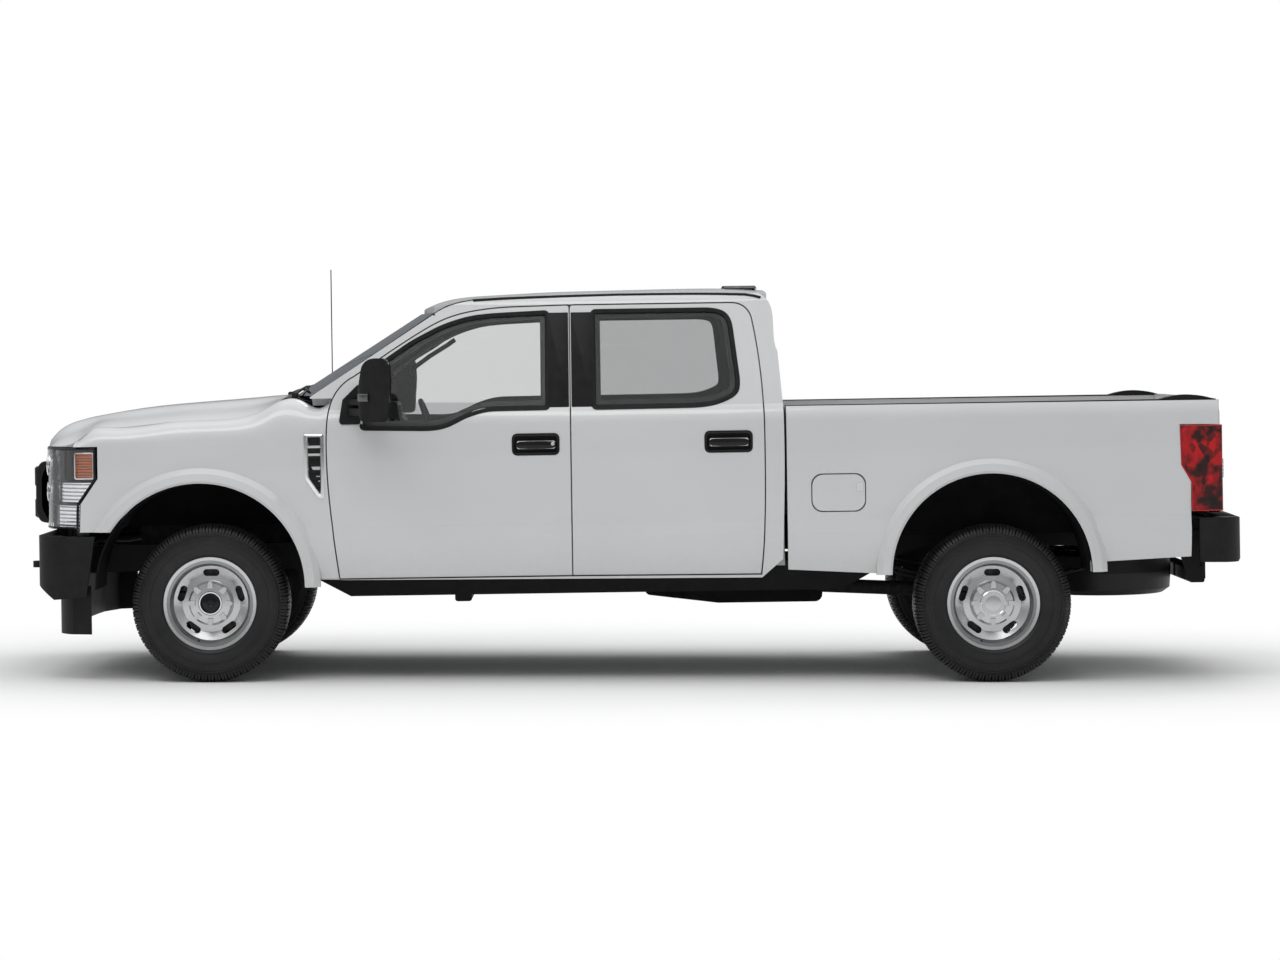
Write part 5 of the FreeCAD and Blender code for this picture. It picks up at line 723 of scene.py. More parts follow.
def lamp_row(z, inset, front=LAMP_FRONT, margin=0.0, steps=22):
    """Points along the lamp's face at a height, from a front station to the rear edge."""
    end = slope(LAMP_REAR, z) - margin
    row = []
    for x in spaced(front, end, steps - 1):
        ahead, behind = slope(LAMP_PLAN, min(x + 4, LAMP_END)), slope(LAMP_PLAN, max(x - 4, LAMP_FRONT))
        n = Vector((-(ahead - behind), 8)).normalized()
        row.append((x - n.x * inset, slope(LAMP_PLAN, x) - n.y * inset, z))
    return row


MARKER_X0, MARKER_X1, MARKER_Z0, MARKER_Z1 = NOSE + 262, NOSE + 353, 1064, 1192
for side, sign in SIDES:
    lamp = Shape("flutes", outward(sign))
    lamp.sheet([lamp_row(z, 26, NOSE + 140) for z in LAMP_HEIGHTS if z <= 1056])
    lamp.use("black_gloss").sheet([lamp_row(z, 43) for z in LAMP_HEIGHTS])
    # Frames: the outline of the lamp and the bars between its chambers
    outline = [lamp_row(LAMP_LOW, 5, steps=16), [lamp_row(z, 5)[-1] for z in LAMP_HEIGHTS],
               lamp_row(LAMP_TOP, 5, steps=16)[::-1], [lamp_row(z, 5)[0] for z in LAMP_HEIGHTS[::-1]]]
    lamp.tube([p for run in outline for p in run[:-1]], 7, 8, loop=True)
    for z in (1046, 928):
        lamp.tube(lamp_row(z, 15, margin=4), 6, 6)
    for z0, z1, x in ((930, 1212, NOSE + 138), (1050, 1212, NOSE + 236)):
        lamp.tube([(x, slope(LAMP_PLAN, x) - 15, z) for z in spaced(z0, z1, 4)], 7, 6)
    # Two round projectors in deep bowls
    for z, r in ((1130, 56), (990, 50)):
        centre = (NOSE + 118, 700, z)
        bowl = [(r, -32), (r * 0.9, -8), (r * 0.62, 14), (r * 0.45, 18)]
        lamp.use("chrome").turn(bowl, centre, 32, "X", closed=False)
        lamp.turn([(r - 3, -36), (r + 3, -36), (r + 5, -31), (r + 3, -27), (r - 2, -29)], centre, 40, "X")
        dome = [(r * 0.45, 14), (r * 0.38, -4), (r * 0.2, -12), (1, -15)]
        lamp.use("lens").turn(dome, centre, 32, "X", closed=False)
    window = box_loop(MARKER_X0, MARKER_X1, MARKER_Z0, MARKER_Z1, 8)
    lamp.use("chrome").band(window, [(5, -14), (5, -6), (0, -5), (-1, -14)], lambda z: 966)
    lamp.use("amber").sheet([[(x, slope(LAMP_PLAN, x) - (11.5 if k % 2 else 9), z)
                              for x in spaced(MARKER_X0, MARKER_X1, 8)]
                             for k, z in enumerate(spaced(MARKER_Z0, MARKER_Z1, 12))])
    lamp.use("black").sheet([lamp_row(z, 46) for z in LAMP_HEIGHTS])
    made = lamp.make(f"headlamp_{side}")
    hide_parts("headlamps")
for shell in both("headlamp_shell", "lens", smooth=25):
    shell.rings([lamp_row(z, 0.5) + lamp_row(z, 3.5)[::-1] for z in LAMP_HEIGHTS])

# Dark meshes behind the front bumper's openings
mesh = Shape("black")
for x, half, y in ((NOSE + 84, 375, 0), (NOSE + 124, 98, -650), (NOSE + 124, 98, 650)):
    mesh.box(x, x + 4, y - half, y + half, CREASE - 246, CREASE - 134, 1)
    for z in range(CREASE - 238, CREASE - 140, 18):
        mesh.box(x - 7, x + 1, y - half + 4, y + half - 4, z, z + 6, 1)
mesh.make("bumper_meshes")

# Grille arms: the black clamps at both ends of the grille, ahead of the lamps
CLAMP = rounded(back_from(NOSE, [
    (72, 1146), (22, 1143, 20), (-6, 1096, 16), (-8, 872, 16), (16, 824, 20), (72, 815), (72, 858),
    (44, 868, 12), (30, 902, 14), (30, 1058, 14), (44, 1096, 12), (72, 1104)]), 5)
for arm in both("grille_arm", "black_gloss"):
    arm.slab(CLAMP, (508, -4), (512, 0), (560, 0), (566, -5))
    for z0, z1 in ((1010, 1118), (846, 950)):
        arm.box(NOSE - 14, NOSE + 34, 516, 556, z0, z1, 9)


# Tyres: a carcass with moulded rings, and five rows of tread blocks with a sipe through each
def tread_radius(y):
    """The height of the tread over the width, falling away at the shoulders."""
    return slope([(0, 408), (60, 407), (90, 404), (104, 398), (116, 388), (126, 374)], abs(y))


def wheel_point(r, y, angle):
    return r * math.cos(angle), y, r * math.sin(angle)


CARCASS = [(240.6, 98), (240.6, 104), (243, 112), (249, 117), (253, 121), (257, 122.5), (262, 122),
           (268, 124.5), (290, 131), (302, 134), (303, 136.4), (308, 136.4), (310, 134.2), (322, 135.2),
           (340, 133.8), (349, 131.2), (350.5, 134.2), (356, 133.2), (358, 128.6), (366, 122), (375, 113),
           (384, 101), (391, 86), (394, 55), (394.5, 0)]
PITCHES = 70
PITCH = 2 * math.pi / PITCHES
SHOULDER_BLOCK = (60, 90, 104, 116, 125)
# Each row of blocks: its edges across the tread, its start within the pitch, and its lean
ROWS = [((-15, 15), 0.0, 0.10), ((21, 53), 0.35, -0.12), ((-53, -21), 0.85, -0.12),
        (SHOULDER_BLOCK, 0.15, 0.10), ([-y for y in SHOULDER_BLOCK[::-1]], 0.65, 0.10)]
GROOVE = 14
RIBS = 140
RIB = ((324, 134.6), (324, 136.6), (336, 136.2), (345, 134.4), (345, 132))
VALVE = 0.3
ORIGIN = (0, 0, 0)
for name, centre in WHEELS.items():
    front = name.startswith("front")
    sign = 1 if centre.y > 0 else -1
    place = lambda x, y, z, c=centre, s=sign: c + Vector((x / 1000, s * y / 1000, z / 1000))
    body = "wheel_" + name
    tyre = Shape("tyre", place)
    tyre.turn(CARCASS + [(r, -y) for r, y in CARCASS[-2::-1]] + [(229.8, -98), (229.8, 98)], ORIGIN, 120)
    for n in range(PITCHES):
        for ys, shift, lean in ROWS:
            begin = (n + shift) * PITCH
            for sipe in ((0.04, 0.38), (0.49, 0.83)):
                rings = []
                for a in sipe:
                    top, foot = [], []
                    for y in ys:
                        angle = begin + PITCH * (a + lean * (y - ys[0]) / (ys[-1] - ys[0]))
                        r = tread_radius(y)
                        top.append(wheel_point(r, y, angle))
                        foot.append(wheel_point(r - GROOVE, y * 0.985, angle))
                    rings.append(top + foot[::-1])
                tyre.rings(rings)
    # Fine ribs round the upper sidewall
    for n in range(RIBS):
        begin = 2 * math.pi * n / RIBS
        for y in (1, -1):
            tyre.rings([[wheel_point(r, y * h, begin + a) for r, h in RIB] for a in (0.0, 0.016)])
    made = tyre.make(f"tread_{name}", body, smooth=30)
    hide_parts("tyre_" + name)

    # The hub, the valve, and the brake behind the wheel
    hub = Shape("chrome", place)
    if front:
        hub.turn([(50, 72), (50, 88), (53, 93), (59, 93), (62, 88), (62, 72)], ORIGIN)
        hub.use("black_gloss").turn([(0.5, 80), (40, 82), (46, 79), (51, 73)], ORIGIN, closed=False)
        hub.turn([(14, 80), (14, 87), (17, 89), (22, 88), (24, 80)], ORIGIN, 36)
    else:
        hub.turn([(60.5, 96), (60.5, 101), (63, 103), (67, 100), (68, 90), (60.5, 90)], ORIGIN)
        hub.use("wheel").turn([(0.5, 101.5), (30, 101.5), (38, 100.4), (40, 100)], ORIGIN, closed=False)
    valve = [(-r * math.sin(VALVE), y, -r * math.cos(VALVE)) for r, y in ((206, 70), (200, 96), (198, 108))]
    hub.use("black").tube(valve, [5, 4, 4], 8)
    hub.make(f"hub_{name}", body)
    disc = Shape("rust_steel", place)
    disc.turn([(103, -8), (103, -30), (168, -30), (168, -23), (112, -23), (112, -15), (168, -15), (168, -8)],
              ORIGIN, 64)
    disc.make(f"brake_disc_{name}", body)
    caliper = Shape("iron", place)
    caliper.box(-198, -122, -46, 8, -58, 58, 9)
    if front:
        caliper.box(-130, -30, -56, -40, -28, 28, 4)
    else:
        caliper.box(-130, -30, -76, -62, -28, 28, 4)
        caliper.box(-150, -124, -76, -40, -28, 28, 4)
    caliper.make(f"brake_caliper_{name}", "knuckle_" + name.split("_")[1] if front else "chassis")

# Front shock absorbers beside the coil springs
SHOCK_LOW, SHOCK_HIGH = Vector((105, 560, 400)), Vector((150, 520, 760))
for shock in both("shock", "chassis"):
    for kind, a, b, r in (("chassis", 0.0, 0.52, 27), ("steel", 0.5, 0.8, 10), ("black", 0.72, 1.0, 30)):
        shock.use(kind).tube([SHOCK_LOW.lerp(SHOCK_HIGH, t) for t in (a, (a + b) / 2, b)], r, 20)

# Tail lamps: a red lens round the corner of the bed in a bright red border, over a dark back
TAIL_EDGE = [(811, BED_END - 146), (965, BED_END - 146), (1051, BED_END - 196), (1257, BED_END - 201)]
TAIL_HEIGHTS = [814, 850, 900, 940, 965, 990, 1020, 1051, 1090, 1130, 1170, 1210, 1254]


def tail_row(z, depth, trim):
    """Points round the lamp at a height, from its front edge along the side and round onto the rear face."""
    front = slope(TAIL_EDGE, z) + trim
    path = [Vector(p) for p in [(front, 986), (front + 40, 985.4)] + back_from(BED_END, [
        (-60, 984), (-10, 981.5), (6, 979), (15, 973), (20.5, 963), (22, 948), (22, 910), (22, 873 + trim)])]
    row = []
    for k, p in enumerate(path):
        way = (path[min(k + 1, len(path) - 1)] - path[max(k - 1, 0)]).normalized()
        row.append((p.x + way.y * depth, p.y - way.x * depth, z))
    return row


for lamp in both("tail_lamp", "red", smooth=30):
    lamp.rings([tail_row(z, 1.5, 2) + tail_row(z, 12, 2)[::-1] for z in TAIL_HEIGHTS])
    rim = {z: tail_row(z, 3.5, 3.5) for z in [815, *TAIL_HEIGHTS[1:-1], 1253]}
    border = [rim[815], [rim[z][-1] for z in TAIL_HEIGHTS[1:-1]], rim[1253][::-1],
              [rim[z][0] for z in TAIL_HEIGHTS[-2:0:-1]]]
    lamp.use("red_rim").tube([p for run in border for p in run], 3.6, 8, loop=True)
    lamp.use("black").rings([tail_row(z, 12, 2) + tail_row(z, 50, 30)[::-1] for z in TAIL_HEIGHTS])
for clear in both("reversing_lamp", "flutes"):
    clear.box(BED_END + 14, BED_END + 23.5, 884, 948, 986, 1076, 3)
    clear.use("lens").box(BED_END + 23.5, BED_END + 27, 882, 950, 984, 1078, 1.5)
# The bed's inner panel behind each tail lamp
# The panel is in the darker copy of the paint, as painted shade
for panel in both("bed_end_panel", "bed"):
    outline = [(-147, 812), (-40, 812), (-40, 1258), (-202, 1258), (-197, 1051), (-147, 965)]
    panel.slab(back_from(BED_END, outline), (851, 0), (855, 0))

# Rear wheelhouses: the inner wall, black to the wheel and in the darker copy of the paint above it as painted
# shade, with a pressed rim
arch = REAR_ARCH[2]
WALL_FOOT, BED_FOOT = 690, BED_FLOOR + 2
for wall in both("wheelhouse_wall", "liner"):
    for kind, radius, foot, y0, y1 in (("liner", arch + 14, WALL_FOOT, 643, 646),
                                       ("bed", arch + 23, BED_FOOT, 640.4, 643),
                                       ("bed", arch - 30, BED_FOOT, 638, 640.4)):
        wall.use(kind).slab(arch_loop(REAR_ARCH, radius, foot, 32), (y0, -2), (y0 + 0.5, 0), (y1, 0))

# Front wheel wells: the apron between the wheel and the engine, and the roof that joins it to the liner
APRON_RADIUS, APRON_FOOT = FRONT_ARCH[2] - 4, 790
for apron in both("front_apron", "liner"):
    loop, inner = [arch_loop(FRONT_ARCH, APRON_RADIUS, APRON_FOOT, 28, inset) for inset in (0, 3)]
    apron.slab(loop, (432, 0), (435, 0))
    apron.slab(loop + inner[::-1], (432, 0), (594, 0))

# The roof lamp's pod, with the red strip in its rear face
POD = back_from(CAB_X, [(-290, 1988), (-271, 2003), (-245, 2012), (-209, 2017.5), (-160, 2015), (-111, 2007),
                        (-95, 1999), (-89, 1976), (-100, 1968), (-285, 1974)])
pod = Shape("black_gloss")
pod.slab(POD, (-272, -9), (-268, -3), (-258, 0), (258, 0), (268, -3), (272, -9))
pod.use("red").box(CAB_X - 100, CAB_X - 88.5, -236, 236, 1981, 1996, 2)
pod.make("roof_lamp_pod", smooth=50)


# Cowl panel and wipers
def cowl_front(y):
    return 262 + 131 * (y / 830) ** 2


def screen_x(y, z):
    """The windscreen's outer face."""
    t = (z - 1471) / 424
    return 402 + 672 * t + (133 - 37 * t) * (y / (800 - 110 * t)) ** 2


COWL_HALF = 760
SCREEN_FOOT = 1474
cowl = Shape("black")
rows = []
for y in spaced(-COWL_HALF, COWL_HALF, 32):
    front, rear = cowl_front(y), min(screen_x(y, SCREEN_FOOT) - 2, 532)
    low, high = 1434 - 40 * (y / COWL_HALF) ** 2, 1470 - 34 * (y / COWL_HALF) ** 2
    mid_x, mid_z = front * 0.5 + rear * 0.5, (low + high) / 2
    rows.append([(front, y, low - 6), (front + 8, y, low), (mid_x, y, mid_z), (rear, y, high),
                 (rear, y, high - 6), (mid_x, y, mid_z - 6)])
cowl.rings(rows)
for y in spaced(-600, 600, 29):
    if abs(y) > 60:
        x = (cowl_front(y) + screen_x(y, SCREEN_FOOT)) / 2
        z = 1452 - 37 * (y / COWL_HALF) ** 2
        cowl.box(x - 38, x + 14, y - 4, y + 4, z + 1, z + 5, 1)
cowl.make("cowl")
wipers = Shape("black")
for foot_y, tip_y, from_y in ((-560, -20, -640), (-60, 560, -60)):
    foot = Vector((screen_x(foot_y, SCREEN_FOOT) - 46, foot_y, 1462))
    knee = Vector((screen_x((foot_y + tip_y) / 2, 1512) - 24, (foot_y * 0.4 + tip_y * 0.6), 1516))
    wipers.turn([(0.5, 26), (12, 25), (17, 18), (18, -14), (0.5, -14)], tuple(foot), 20, "Z")
    wipers.tube([foot + Vector((0, 0, 12)), foot.lerp(knee, 0.3) + Vector((-6, 0, 10)),
                 foot.lerp(knee, 0.7) + Vector((-4, 0, 4)), knee], [11, 9, 7, 6], 8)
    blade = zip(spaced(from_y, tip_y, 14), spaced(1492, 1514, 14))
    wipers.tube([(screen_x(y, z) - 11, y, z + 3) for y, z in blade], [3] + [6] * 13 + [3], 6)
wipers.make("wipers")

# Load bed: tie-down loops, and the tailgate's handle
for hooks in both("tie_downs", "steel"):
    for x in (3170, 5010):
        hooks.box(x - 30, x + 30, 842, 850, 1230, 1290, 2)
        hooks.tube([(x - 20, 840, 1262), (x - 22, 832, 1240), (x - 12, 828, 1222), (x + 12, 828, 1222),
                    (x + 22, 832, 1240), (x + 20, 840, 1262)], 5, 8)
gate_points = [body_point(v.co) for v in NODES["tailgate"].data.vertices]
GATE_X = max(x for x, y, z in gate_points if BED_TOP - 90 < z < BED_TOP - 40)
bezel = box_loop(-130, 130, BED_TOP - 150, BED_TOP - 85, 18)
handle = Shape("black_gloss")
handle.rings([[(GATE_X + h, y, z) for y, z in offset(bezel, out)]
              for out, h in ((9, -1), (8, 3), (1, 4), (-4, 2), (-6, -30), (-1, -32))], ends=False, loop=True)
handle.use("black").box(GATE_X - 34, GATE_X - 31, -124, 124, BED_TOP - 146, BED_TOP - 88, 1)
handle.use("black_gloss").box(GATE_X - 26, GATE_X - 4, -114, 114, BED_TOP - 121, BED_TOP - 90, 6)
handle.make("tailgate_handle", "tailgate")

# Rear bumper: ribbed step pads, a blank plate and its two lamps
pads = Shape("rubber")
for y0, y1 in ((-860, -230), (230, 860)):
    pads.box(BED_END - 90, BED_END + 100, y0, y1, CREASE - 18.5, CREASE - 15.5, 2)
    for x in range(BED_END - 78, BED_END + 75, 19):
        pads.box(x, x + 9, y0 + 12, y1 - 12, CREASE - 16, CREASE - 12.5, 1.2)
pads.make("step_pads")
plate = Shape("plate")
plate.box(TAIL - 36.5, TAIL - 34, -150, 150, CREASE - 200, CREASE - 66, 1)
plate.use("lens")
for y in (-176, 160):
    plate.box(TAIL - 36, TAIL - 26, y, y + 16, CREASE - 110, CREASE - 90, 3)
plate.make("plate_place")

# Under the hood: engine cover, intake, radiator, battery and air box
bay = Shape("black")
bay.box(-330, 300, -215, 215, 1150, 1196, 16)
for y in range(-180, 181, 60):
    bay.box(-300, 270, y - 12, y + 12, 1194, 1206, 5)
bay.use("iron").turn([(0.5, 20), (30, 20), (34, 14), (34, 0), (0.5, 0)], (180, 0, 1204), 24, "Z")
bay.use("black").tube([(-360, 60, 1120), (-420, 90, 1165), (-470, 200, 1180), (-430, 420, 1160),
                       (-330, 560, 1140), (-240, 640, 1120)], 42, 20)
bay.tube([(-430, -140, 1060), (-520, -150, 1090), (-640, -180, 1095), (-778, -190, 1090)], 24, 16)
bay.tube([(-430, 120, 720), (-560, 150, 700), (-680, 190, 700), (-778, 210, 700)], 26, 16)
bay.make("engine_cover")
core = Shape("steel")
core.box(NOSE + 150, NOSE + 176, -372, 372, 608, 1146, 4)
core.use("black").box(NOSE + 146, NOSE + 182, -384, 384, 1130, 1166, 6)
core.box(NOSE + 146, NOSE + 182, -384, 384, 592, 618, 6)
core.use("steel")
for z in range(624, 1120, 15):
    core.box(NOSE + 175, NOSE + 179, -366, 366, z, z + 6, 1)
core.make("radiator")
battery = Shape("black", outward(1))
battery.box(-140, 140, 620, 800, 1042, 1068, 6)
battery.box(-130, 130, 630, 790, 1066, 1216, 12)
battery.box(-120, 120, 640, 780, 1214, 1232, 5)
battery.use("steel")
for x in (-80, 80):
    battery.turn([(0.5, 16), (9, 16), (10, 0), (0.5, 0)], (x, 670, 1230), 16, "Z")
battery.make("battery")
air_box = Shape("black", outward(-1))
air_box.box(-180, 150, 612, 800, 1042, 1210, 18)
air_box.box(-176, 146, 616, 796, 1150, 1160, 3)
air_box.make("air_box")

# Cabin: instruments, screen, vents, mirror, pedals and grab handles
cabin = Shape("black_gloss")
cabin.box(DOOR_X + 313, DOOR_X + 320, -560, -240, 1305, 1405, 2)
for y in (-480, -320):
    cabin.use("chrome").turn([(38, 0), (38, 7), (41, 8), (44, 6), (44, 0)], (DOOR_X + 319, y, 1356), 32, "X")
cabin.use("black_gloss").box(DOOR_X + 346, DOOR_X + 352, -118, 118, 1212, 1308, 2)
cabin.use("black")
for y in (-690, -640, 640, 690, -185, 185):
    for z in range(1278, 1318, 13):
        cabin.box(DOOR_X + 318, DOOR_X + 336, y - 22, y + 22, z, z + 5, 1)
for y in range(-96, 97, 48):
    cabin.turn([(0.5, 14), (11, 14), (13, 10), (13, 0), (0.5, 0)], (DOOR_X + 356, y, 1150), 20, "X")
cabin.tube([(1040, 0, 1846), (1052, 0, 1816), (1058, 0, 1800)], [12, 10, 10])
cabin.box(1050, 1076, -120, 120, 1752, 1812, 8)
cabin.use("mirror").box(1074, 1078, -112, 112, 1760, 1804, 1.5)
cabin.use("black")
for y, half in ((-500, 26), (-380, 40)):  # the accelerator and the brake
    cabin.box(DOOR_X + 170, DOOR_X + 190, y - half, y + half, 700, 780, 5)
    cabin.tube([(DOOR_X + 175, y, 760), (DOOR_X + 140, y, 880), (DOOR_X + 150, y, 1010)], 8, 8)
cabin.use("dash")
for sign in (-1, 1):
    cabin.tube([(962, sign * 806, 1566), (984, sign * 782, 1600), (1080, sign * 760, 1668),
                (1180, sign * 745, 1728), (1222, sign * 752, 1758)], 13, 12)
cabin.make("cabin_fittings")

# Seats: padded pieces blown up by cloth simulation, on their plain bases
FRAMES_BLOWN = 20
SEAM_WIDTH, SEAM_DEPTH = 9, 0.007


def pad_form(outline, y0, y1, pull=16, steps=14):
    """A cushion's first form: its side outline carried across the seat, drawn in near both ends."""
    cx, cz = [sum(p[i] for p in outline) / len(outline) for i in (0, 1)]
    rings = []
    for k in range(steps + 1):
        t = k / steps
        drop = pull * max(0.0, 1 - min(t, 1 - t) * (y1 - y0) / 60) ** 2
        ring = []
        for x, z in outline:
            away = Vector((x - cx, z - cz))
            away = away * (1 - drop / away.length)
            ring.append((cx + away.x, y0 + (y1 - y0) * t, cz + away.y))
        rings.append(ring)
    return Shape("cloth").rings(rings)


def lengthwise(*places):
    """Seams that run along the seat at some y. Each seam gives a body point's distance from it."""
    return [lambda x, y, z, place=place: abs(y - place) for place in places]


def across(ax, az, bx, bz, y0=-2000, y1=2000):
    """A seam across the seat, through a line between two points in x and height over the cabin's floor."""
    az, bz = CAB_FLOOR + az, CAB_FLOOR + bz
    along = Vector((bx - ax, bz - az)).normalized()
    return lambda x, y, z: abs((x - ax) * along.y - (z - az) * along.x) if y0 < y < y1 else math.inf


def blow_up(pad):
    cloth = pad.modifiers.new("cloth", "CLOTH")
    setup = cloth.settings
    setup.use_pressure = True
    setup.uniform_pressure_force = 4.0
    setup.effector_weights.gravity = 0
    setup.quality = 4
    setup.tension_stiffness = setup.compression_stiffness = 12
    setup.mass = 0.4
    cloth.point_cache.frame_start = 1
    cloth.point_cache.frame_end = FRAMES_BLOWN
    for moment in range(1, FRAMES_BLOWN + 1):
        SCENE.frame_set(moment)
    bpy.ops.object.modifier_apply(modifier="cloth")
    SCENE.frame_set(1)


def make_pad(name, outline, y0, y1, seams, cap=0.024):
    """Remeshes, inflates and seams a cushion. No point moves further than the cap, in metres."""
    pad = pad_form(outline, y0, y1).make(name, smooth=180)
    remesh = pad.modifiers.new("even_faces", "REMESH")
    remesh.mode = "VOXEL"
    remesh.voxel_size = 0.0095
    bpy.context.view_layer.objects.active = pad
    for other in bpy.context.selected_objects:
        other.select_set(False)
    pad.select_set(True)
    bpy.ops.object.modifier_apply(modifier="even_faces")
    start = [v.co.copy() for v in pad.data.vertices]
    blow_up(pad)
    drift = sum(((v.co - s) for v, s in zip(pad.data.vertices, start)), Vector()) / len(start)
    for v, s in zip(pad.data.vertices, start):
        move = v.co - s - drift
        v.co = s + (move if move.length < cap else move * cap / move.length)
    pad.data.calc_loop_triangles()
    normals = [v.normal.copy() for v in pad.data.vertices]
    for v, n in zip(pad.data.vertices, normals):
        p = body_point(v.co)
        for seam in seams:
            if seam(*p) < 40:
                v.co -= n * SEAM_DEPTH * math.exp(-(seam(*p) / SEAM_WIDTH) ** 2)
    for face in pad.data.polygons:
        face.use_smooth = True
    fine = pad.modifiers.new("smooth_form", "SUBSURF")
    fine.levels = fine.render_levels = 1
    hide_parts("seats")


def seat_loop(points, radius):
    """A cushion's side outline, from points in x and height over the cabin's floor."""
    return rounded([(x, CAB_FLOOR + z) for x, z in points], radius, 5)


SEAT_X, SEAT_Y, SEAT_HALF = DOOR_X + 698, 465, 238
BENCH_X, BENCH_BACK, BENCH_HALF = PILLAR_X + 406, CAB_X - 66.3, 690
CUSHION = seat_loop(back_from(SEAT_X, [(-8, 238), (2, 326), (120, 330), (460, 292), (478, 214)]), 40)
BACK = seat_loop(back_from(SEAT_X, [(474, 236), (556, 226), (676, 736), (598, 752), (490, 420), (462, 326)]),
                 34)
HEAD = seat_loop(back_from(SEAT_X, [(614, 800), (694, 786), (714, 932), (646, 944)]), 30)
BENCH_SEAT = seat_loop(back_from(BENCH_X, [(12, 212), (12, 296), (430, 268), (430, 204)]), 36)
BENCH_REST = seat_loop([(BENCH_X + 440, 214), (BENCH_BACK - 40, 214), (BENCH_BACK - 14, 784),
                        (BENCH_BACK - 80, 784), (BENCH_X + 452, 326)], 30)
BENCH_HEAD = seat_loop(back_from(BENCH_BACK, [(-84, 806), (-14, 806), (-14, 940), (-84, 940)]), 28)
for side, sign in SIDES:
    mid = sign * SEAT_Y
    y0, y1 = mid - SEAT_HALF, mid + SEAT_HALF
    panel = (mid - 140, mid + 140)
    make_pad(f"seat_cushion_{side}", CUSHION, y0, y1, lengthwise(*panel) + [
        across(SEAT_X + 170, 200, SEAT_X + 180, 340, *panel),
        across(SEAT_X + 320, 200, SEAT_X + 326, 330, *panel)])
    make_pad(f"seat_back_{side}", BACK, y0 + 8, y1 - 8, lengthwise(*panel) + [
        across(SEAT_X + 480, 420, SEAT_X + 600, 392, *panel),
        across(SEAT_X + 520, 560, SEAT_X + 640, 530, *panel)])
    make_pad(f"headrest_{side}", HEAD, mid - 132, mid + 132, [], 0.014)
make_pad("bench_cushion", BENCH_SEAT, -BENCH_HALF, BENCH_HALF,
         lengthwise(-232, 232) + [across(BENCH_X + 200, 190, BENCH_X + 206, 330)])
make_pad("bench_back", BENCH_REST, -BENCH_HALF, BENCH_HALF,
         lengthwise(-232, 232) + [across(BENCH_X + 440, 560, BENCH_BACK, 560)])
HEADREST_YS = (-470, 0, 470)
SEATED = CAB_FLOOR + 0.3
for n, y in enumerate(HEADREST_YS, 1):
    make_pad(f"bench_headrest_{n}", BENCH_HEAD, y - 122, y + 122, [], 0.012)
frames = Shape("dash")
for sign in (-1, 1):
    y = sign * SEAT_Y
    frames.use("dash").box(SEAT_X + 30, SEAT_X + 460, y - 190, y + 190, SEATED, CAB_FLOOR + 232, 14)
    for post in (y - 60, y + 60):
        path = [(SEAT_X + 636, post, CAB_FLOOR + 742), (SEAT_X + 658, post, CAB_FLOOR + 806)]
        frames.use("steel").tube(path, 6.5)
frames.use("dash").box(BENCH_X + 60, BENCH_BACK - 60, -640, 640, SEATED, CAB_FLOOR + 206, 14)
for y in HEADREST_YS:
    for post in (y - 50, y + 50):
        path = [(BENCH_BACK - 50, post, CAB_FLOOR + 780), (BENCH_BACK - 50, post, CAB_FLOOR + 812)]
        frames.use("steel").tube(path, 6)
made = frames.make("seat_frames")
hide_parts("seats")

# Camera where the photograph was taken from: level, 18 m off the near wheels. The sizes are in its pixels.
PHOTO_WIDE, PHOTO_HIGH = 1280, 960
FOCAL_PIXELS = 3486
VIEW_CENTRE = (597, 347)
SENSOR = 36
camera = bpy.data.cameras.new("camera")
camera.sensor_width = SENSOR
camera.lens = FOCAL_PIXELS / PHOTO_WIDE * SENSOR
camera.shift_x = (PHOTO_WIDE / 2 - VIEW_CENTRE[0]) / PHOTO_WIDE
camera.shift_y = (VIEW_CENTRE[1] - PHOTO_HIGH / 2) / PHOTO_WIDE
camera.clip_end = 200
SCENE.camera = placed("camera", camera)
SCENE.camera.location = (FRONT_X + 2.001, -19.0, 1.735)
SCENE.camera.rotation_euler = (math.radians(90), 0, 0)

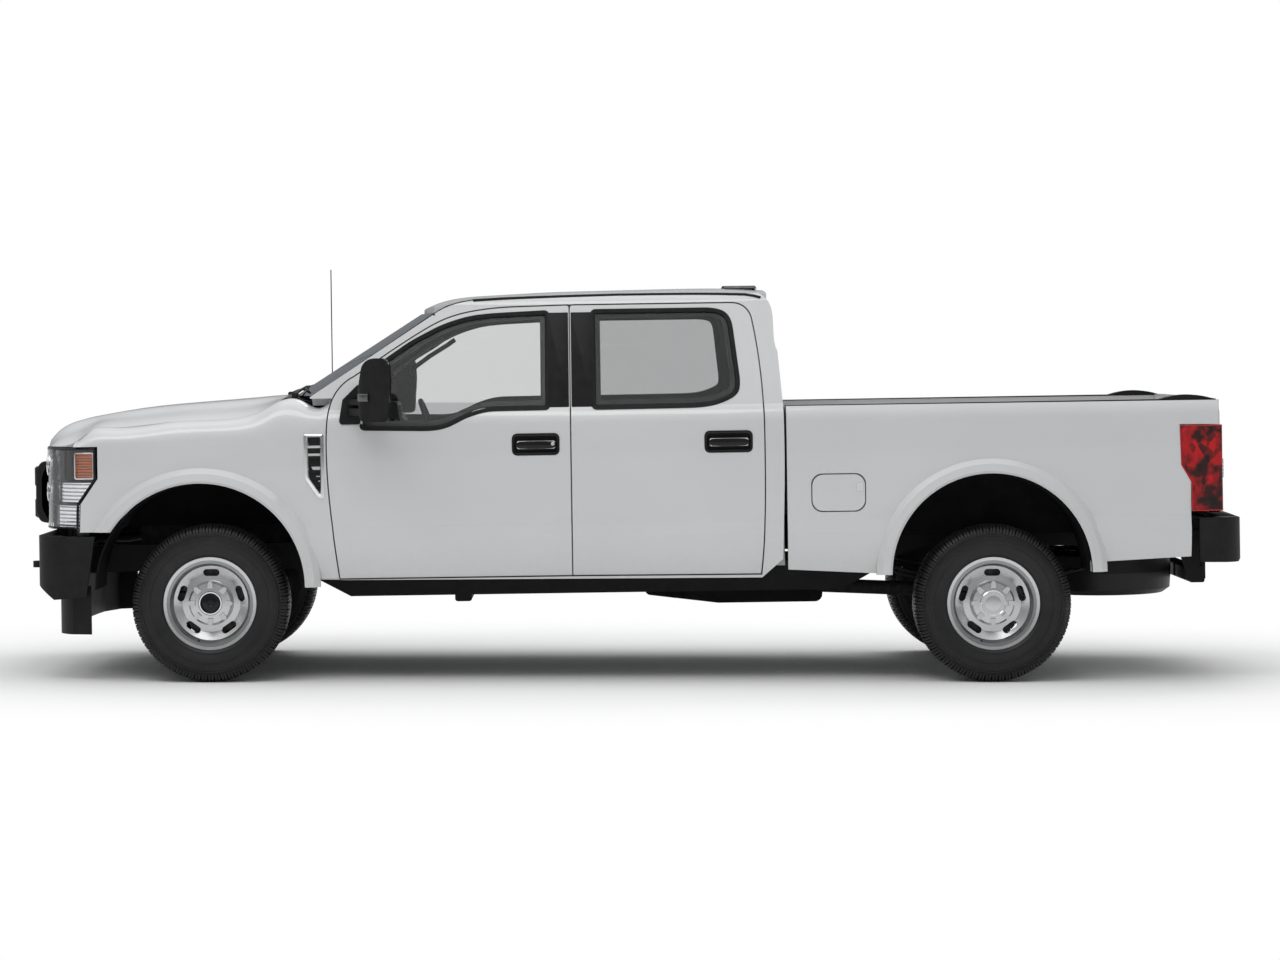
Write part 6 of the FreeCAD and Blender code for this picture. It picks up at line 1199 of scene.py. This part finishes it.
# Studio: a white floor and world behind the truck, darker low down in its reflections, and broad soft lamps
SCENE.view_settings.view_transform = "Standard"
WHITE = (1, 1, 1, 1)
SCENE.world = bpy.data.worlds.new("studio")
SCENE.world.use_nodes = True
studio = Nodes(SCENE.world.node_tree)
light = studio.tree.nodes["Background"]
height = studio.add("SeparateXYZ")
studio.join(studio.add("TexCoord"), "Generated", height, 0)
levels = [(0.0, (0.17, 0.173, 0.177)), (0.35, (0.50, 0.51, 0.52)), (1.0, grey(1))]
studio.join(studio.ramp(height, "Z", levels), "Color", light, "Color")
ray = studio.add("LightPath")
seen = studio.math("MAXIMUM", ray, "Is Camera Ray", ray, "Is Transmission Ray")
studio.cover(seen, light, studio.add("Background", Color=WHITE, Strength=1.0), "World Output")

floor_mesh = bpy.data.meshes.new("floor")
floor_mesh.from_pydata([(-90, -90, 0), (90, -90, 0), (90, 90, 0), (-90, 90, 0)], [], [(0, 1, 2, 3)])
floor = placed("floor", floor_mesh)
ground = Shade("floor_white")
ground.set(Base_Color=(*grey(0.9), 1), Roughness=0.9, Specular_IOR_Level=0.1)
length = ground.add("VectorMath", operation="LENGTH")
ground.join(ground.coords((0.8, 1.6, 1)), "Vector", length, "Vector")
fade = ground.add("MapRange", From_Min=3.2, From_Max=5.5)
ground.join(length, "Value", fade, "Value")
clear = ground.math("MULTIPLY", fade, "Result", ground.add("LightPath"), "Is Camera Ray")
ground.cover(clear, ground.bsdf, ground.add("Emission", Color=WHITE, Strength=1.0), "Material Output")
floor_mesh.materials.append(ground.mat)


def soft_light(name, place, aim, size, power):
    data = bpy.data.lights.new(name, "AREA")
    data.shape = "RECTANGLE"
    data.size, data.size_y = size
    data.energy = power
    lamp = placed(name, data)
    lamp.location = place
    lamp.rotation_euler = (Vector(aim) - Vector(place)).to_track_quat("-Z", "Y").to_euler()


soft_light("overhead", (0, 0, 8), (0, 0, 0), (9, 6), 120)
soft_light("left_front", (-3, -6.5, 9), (-0.3, 0, 0.8), (9, 3), 265)
soft_light("right_rear", (3, 6.5, 9), (0, 0, 0.8), (9, 3), 245)
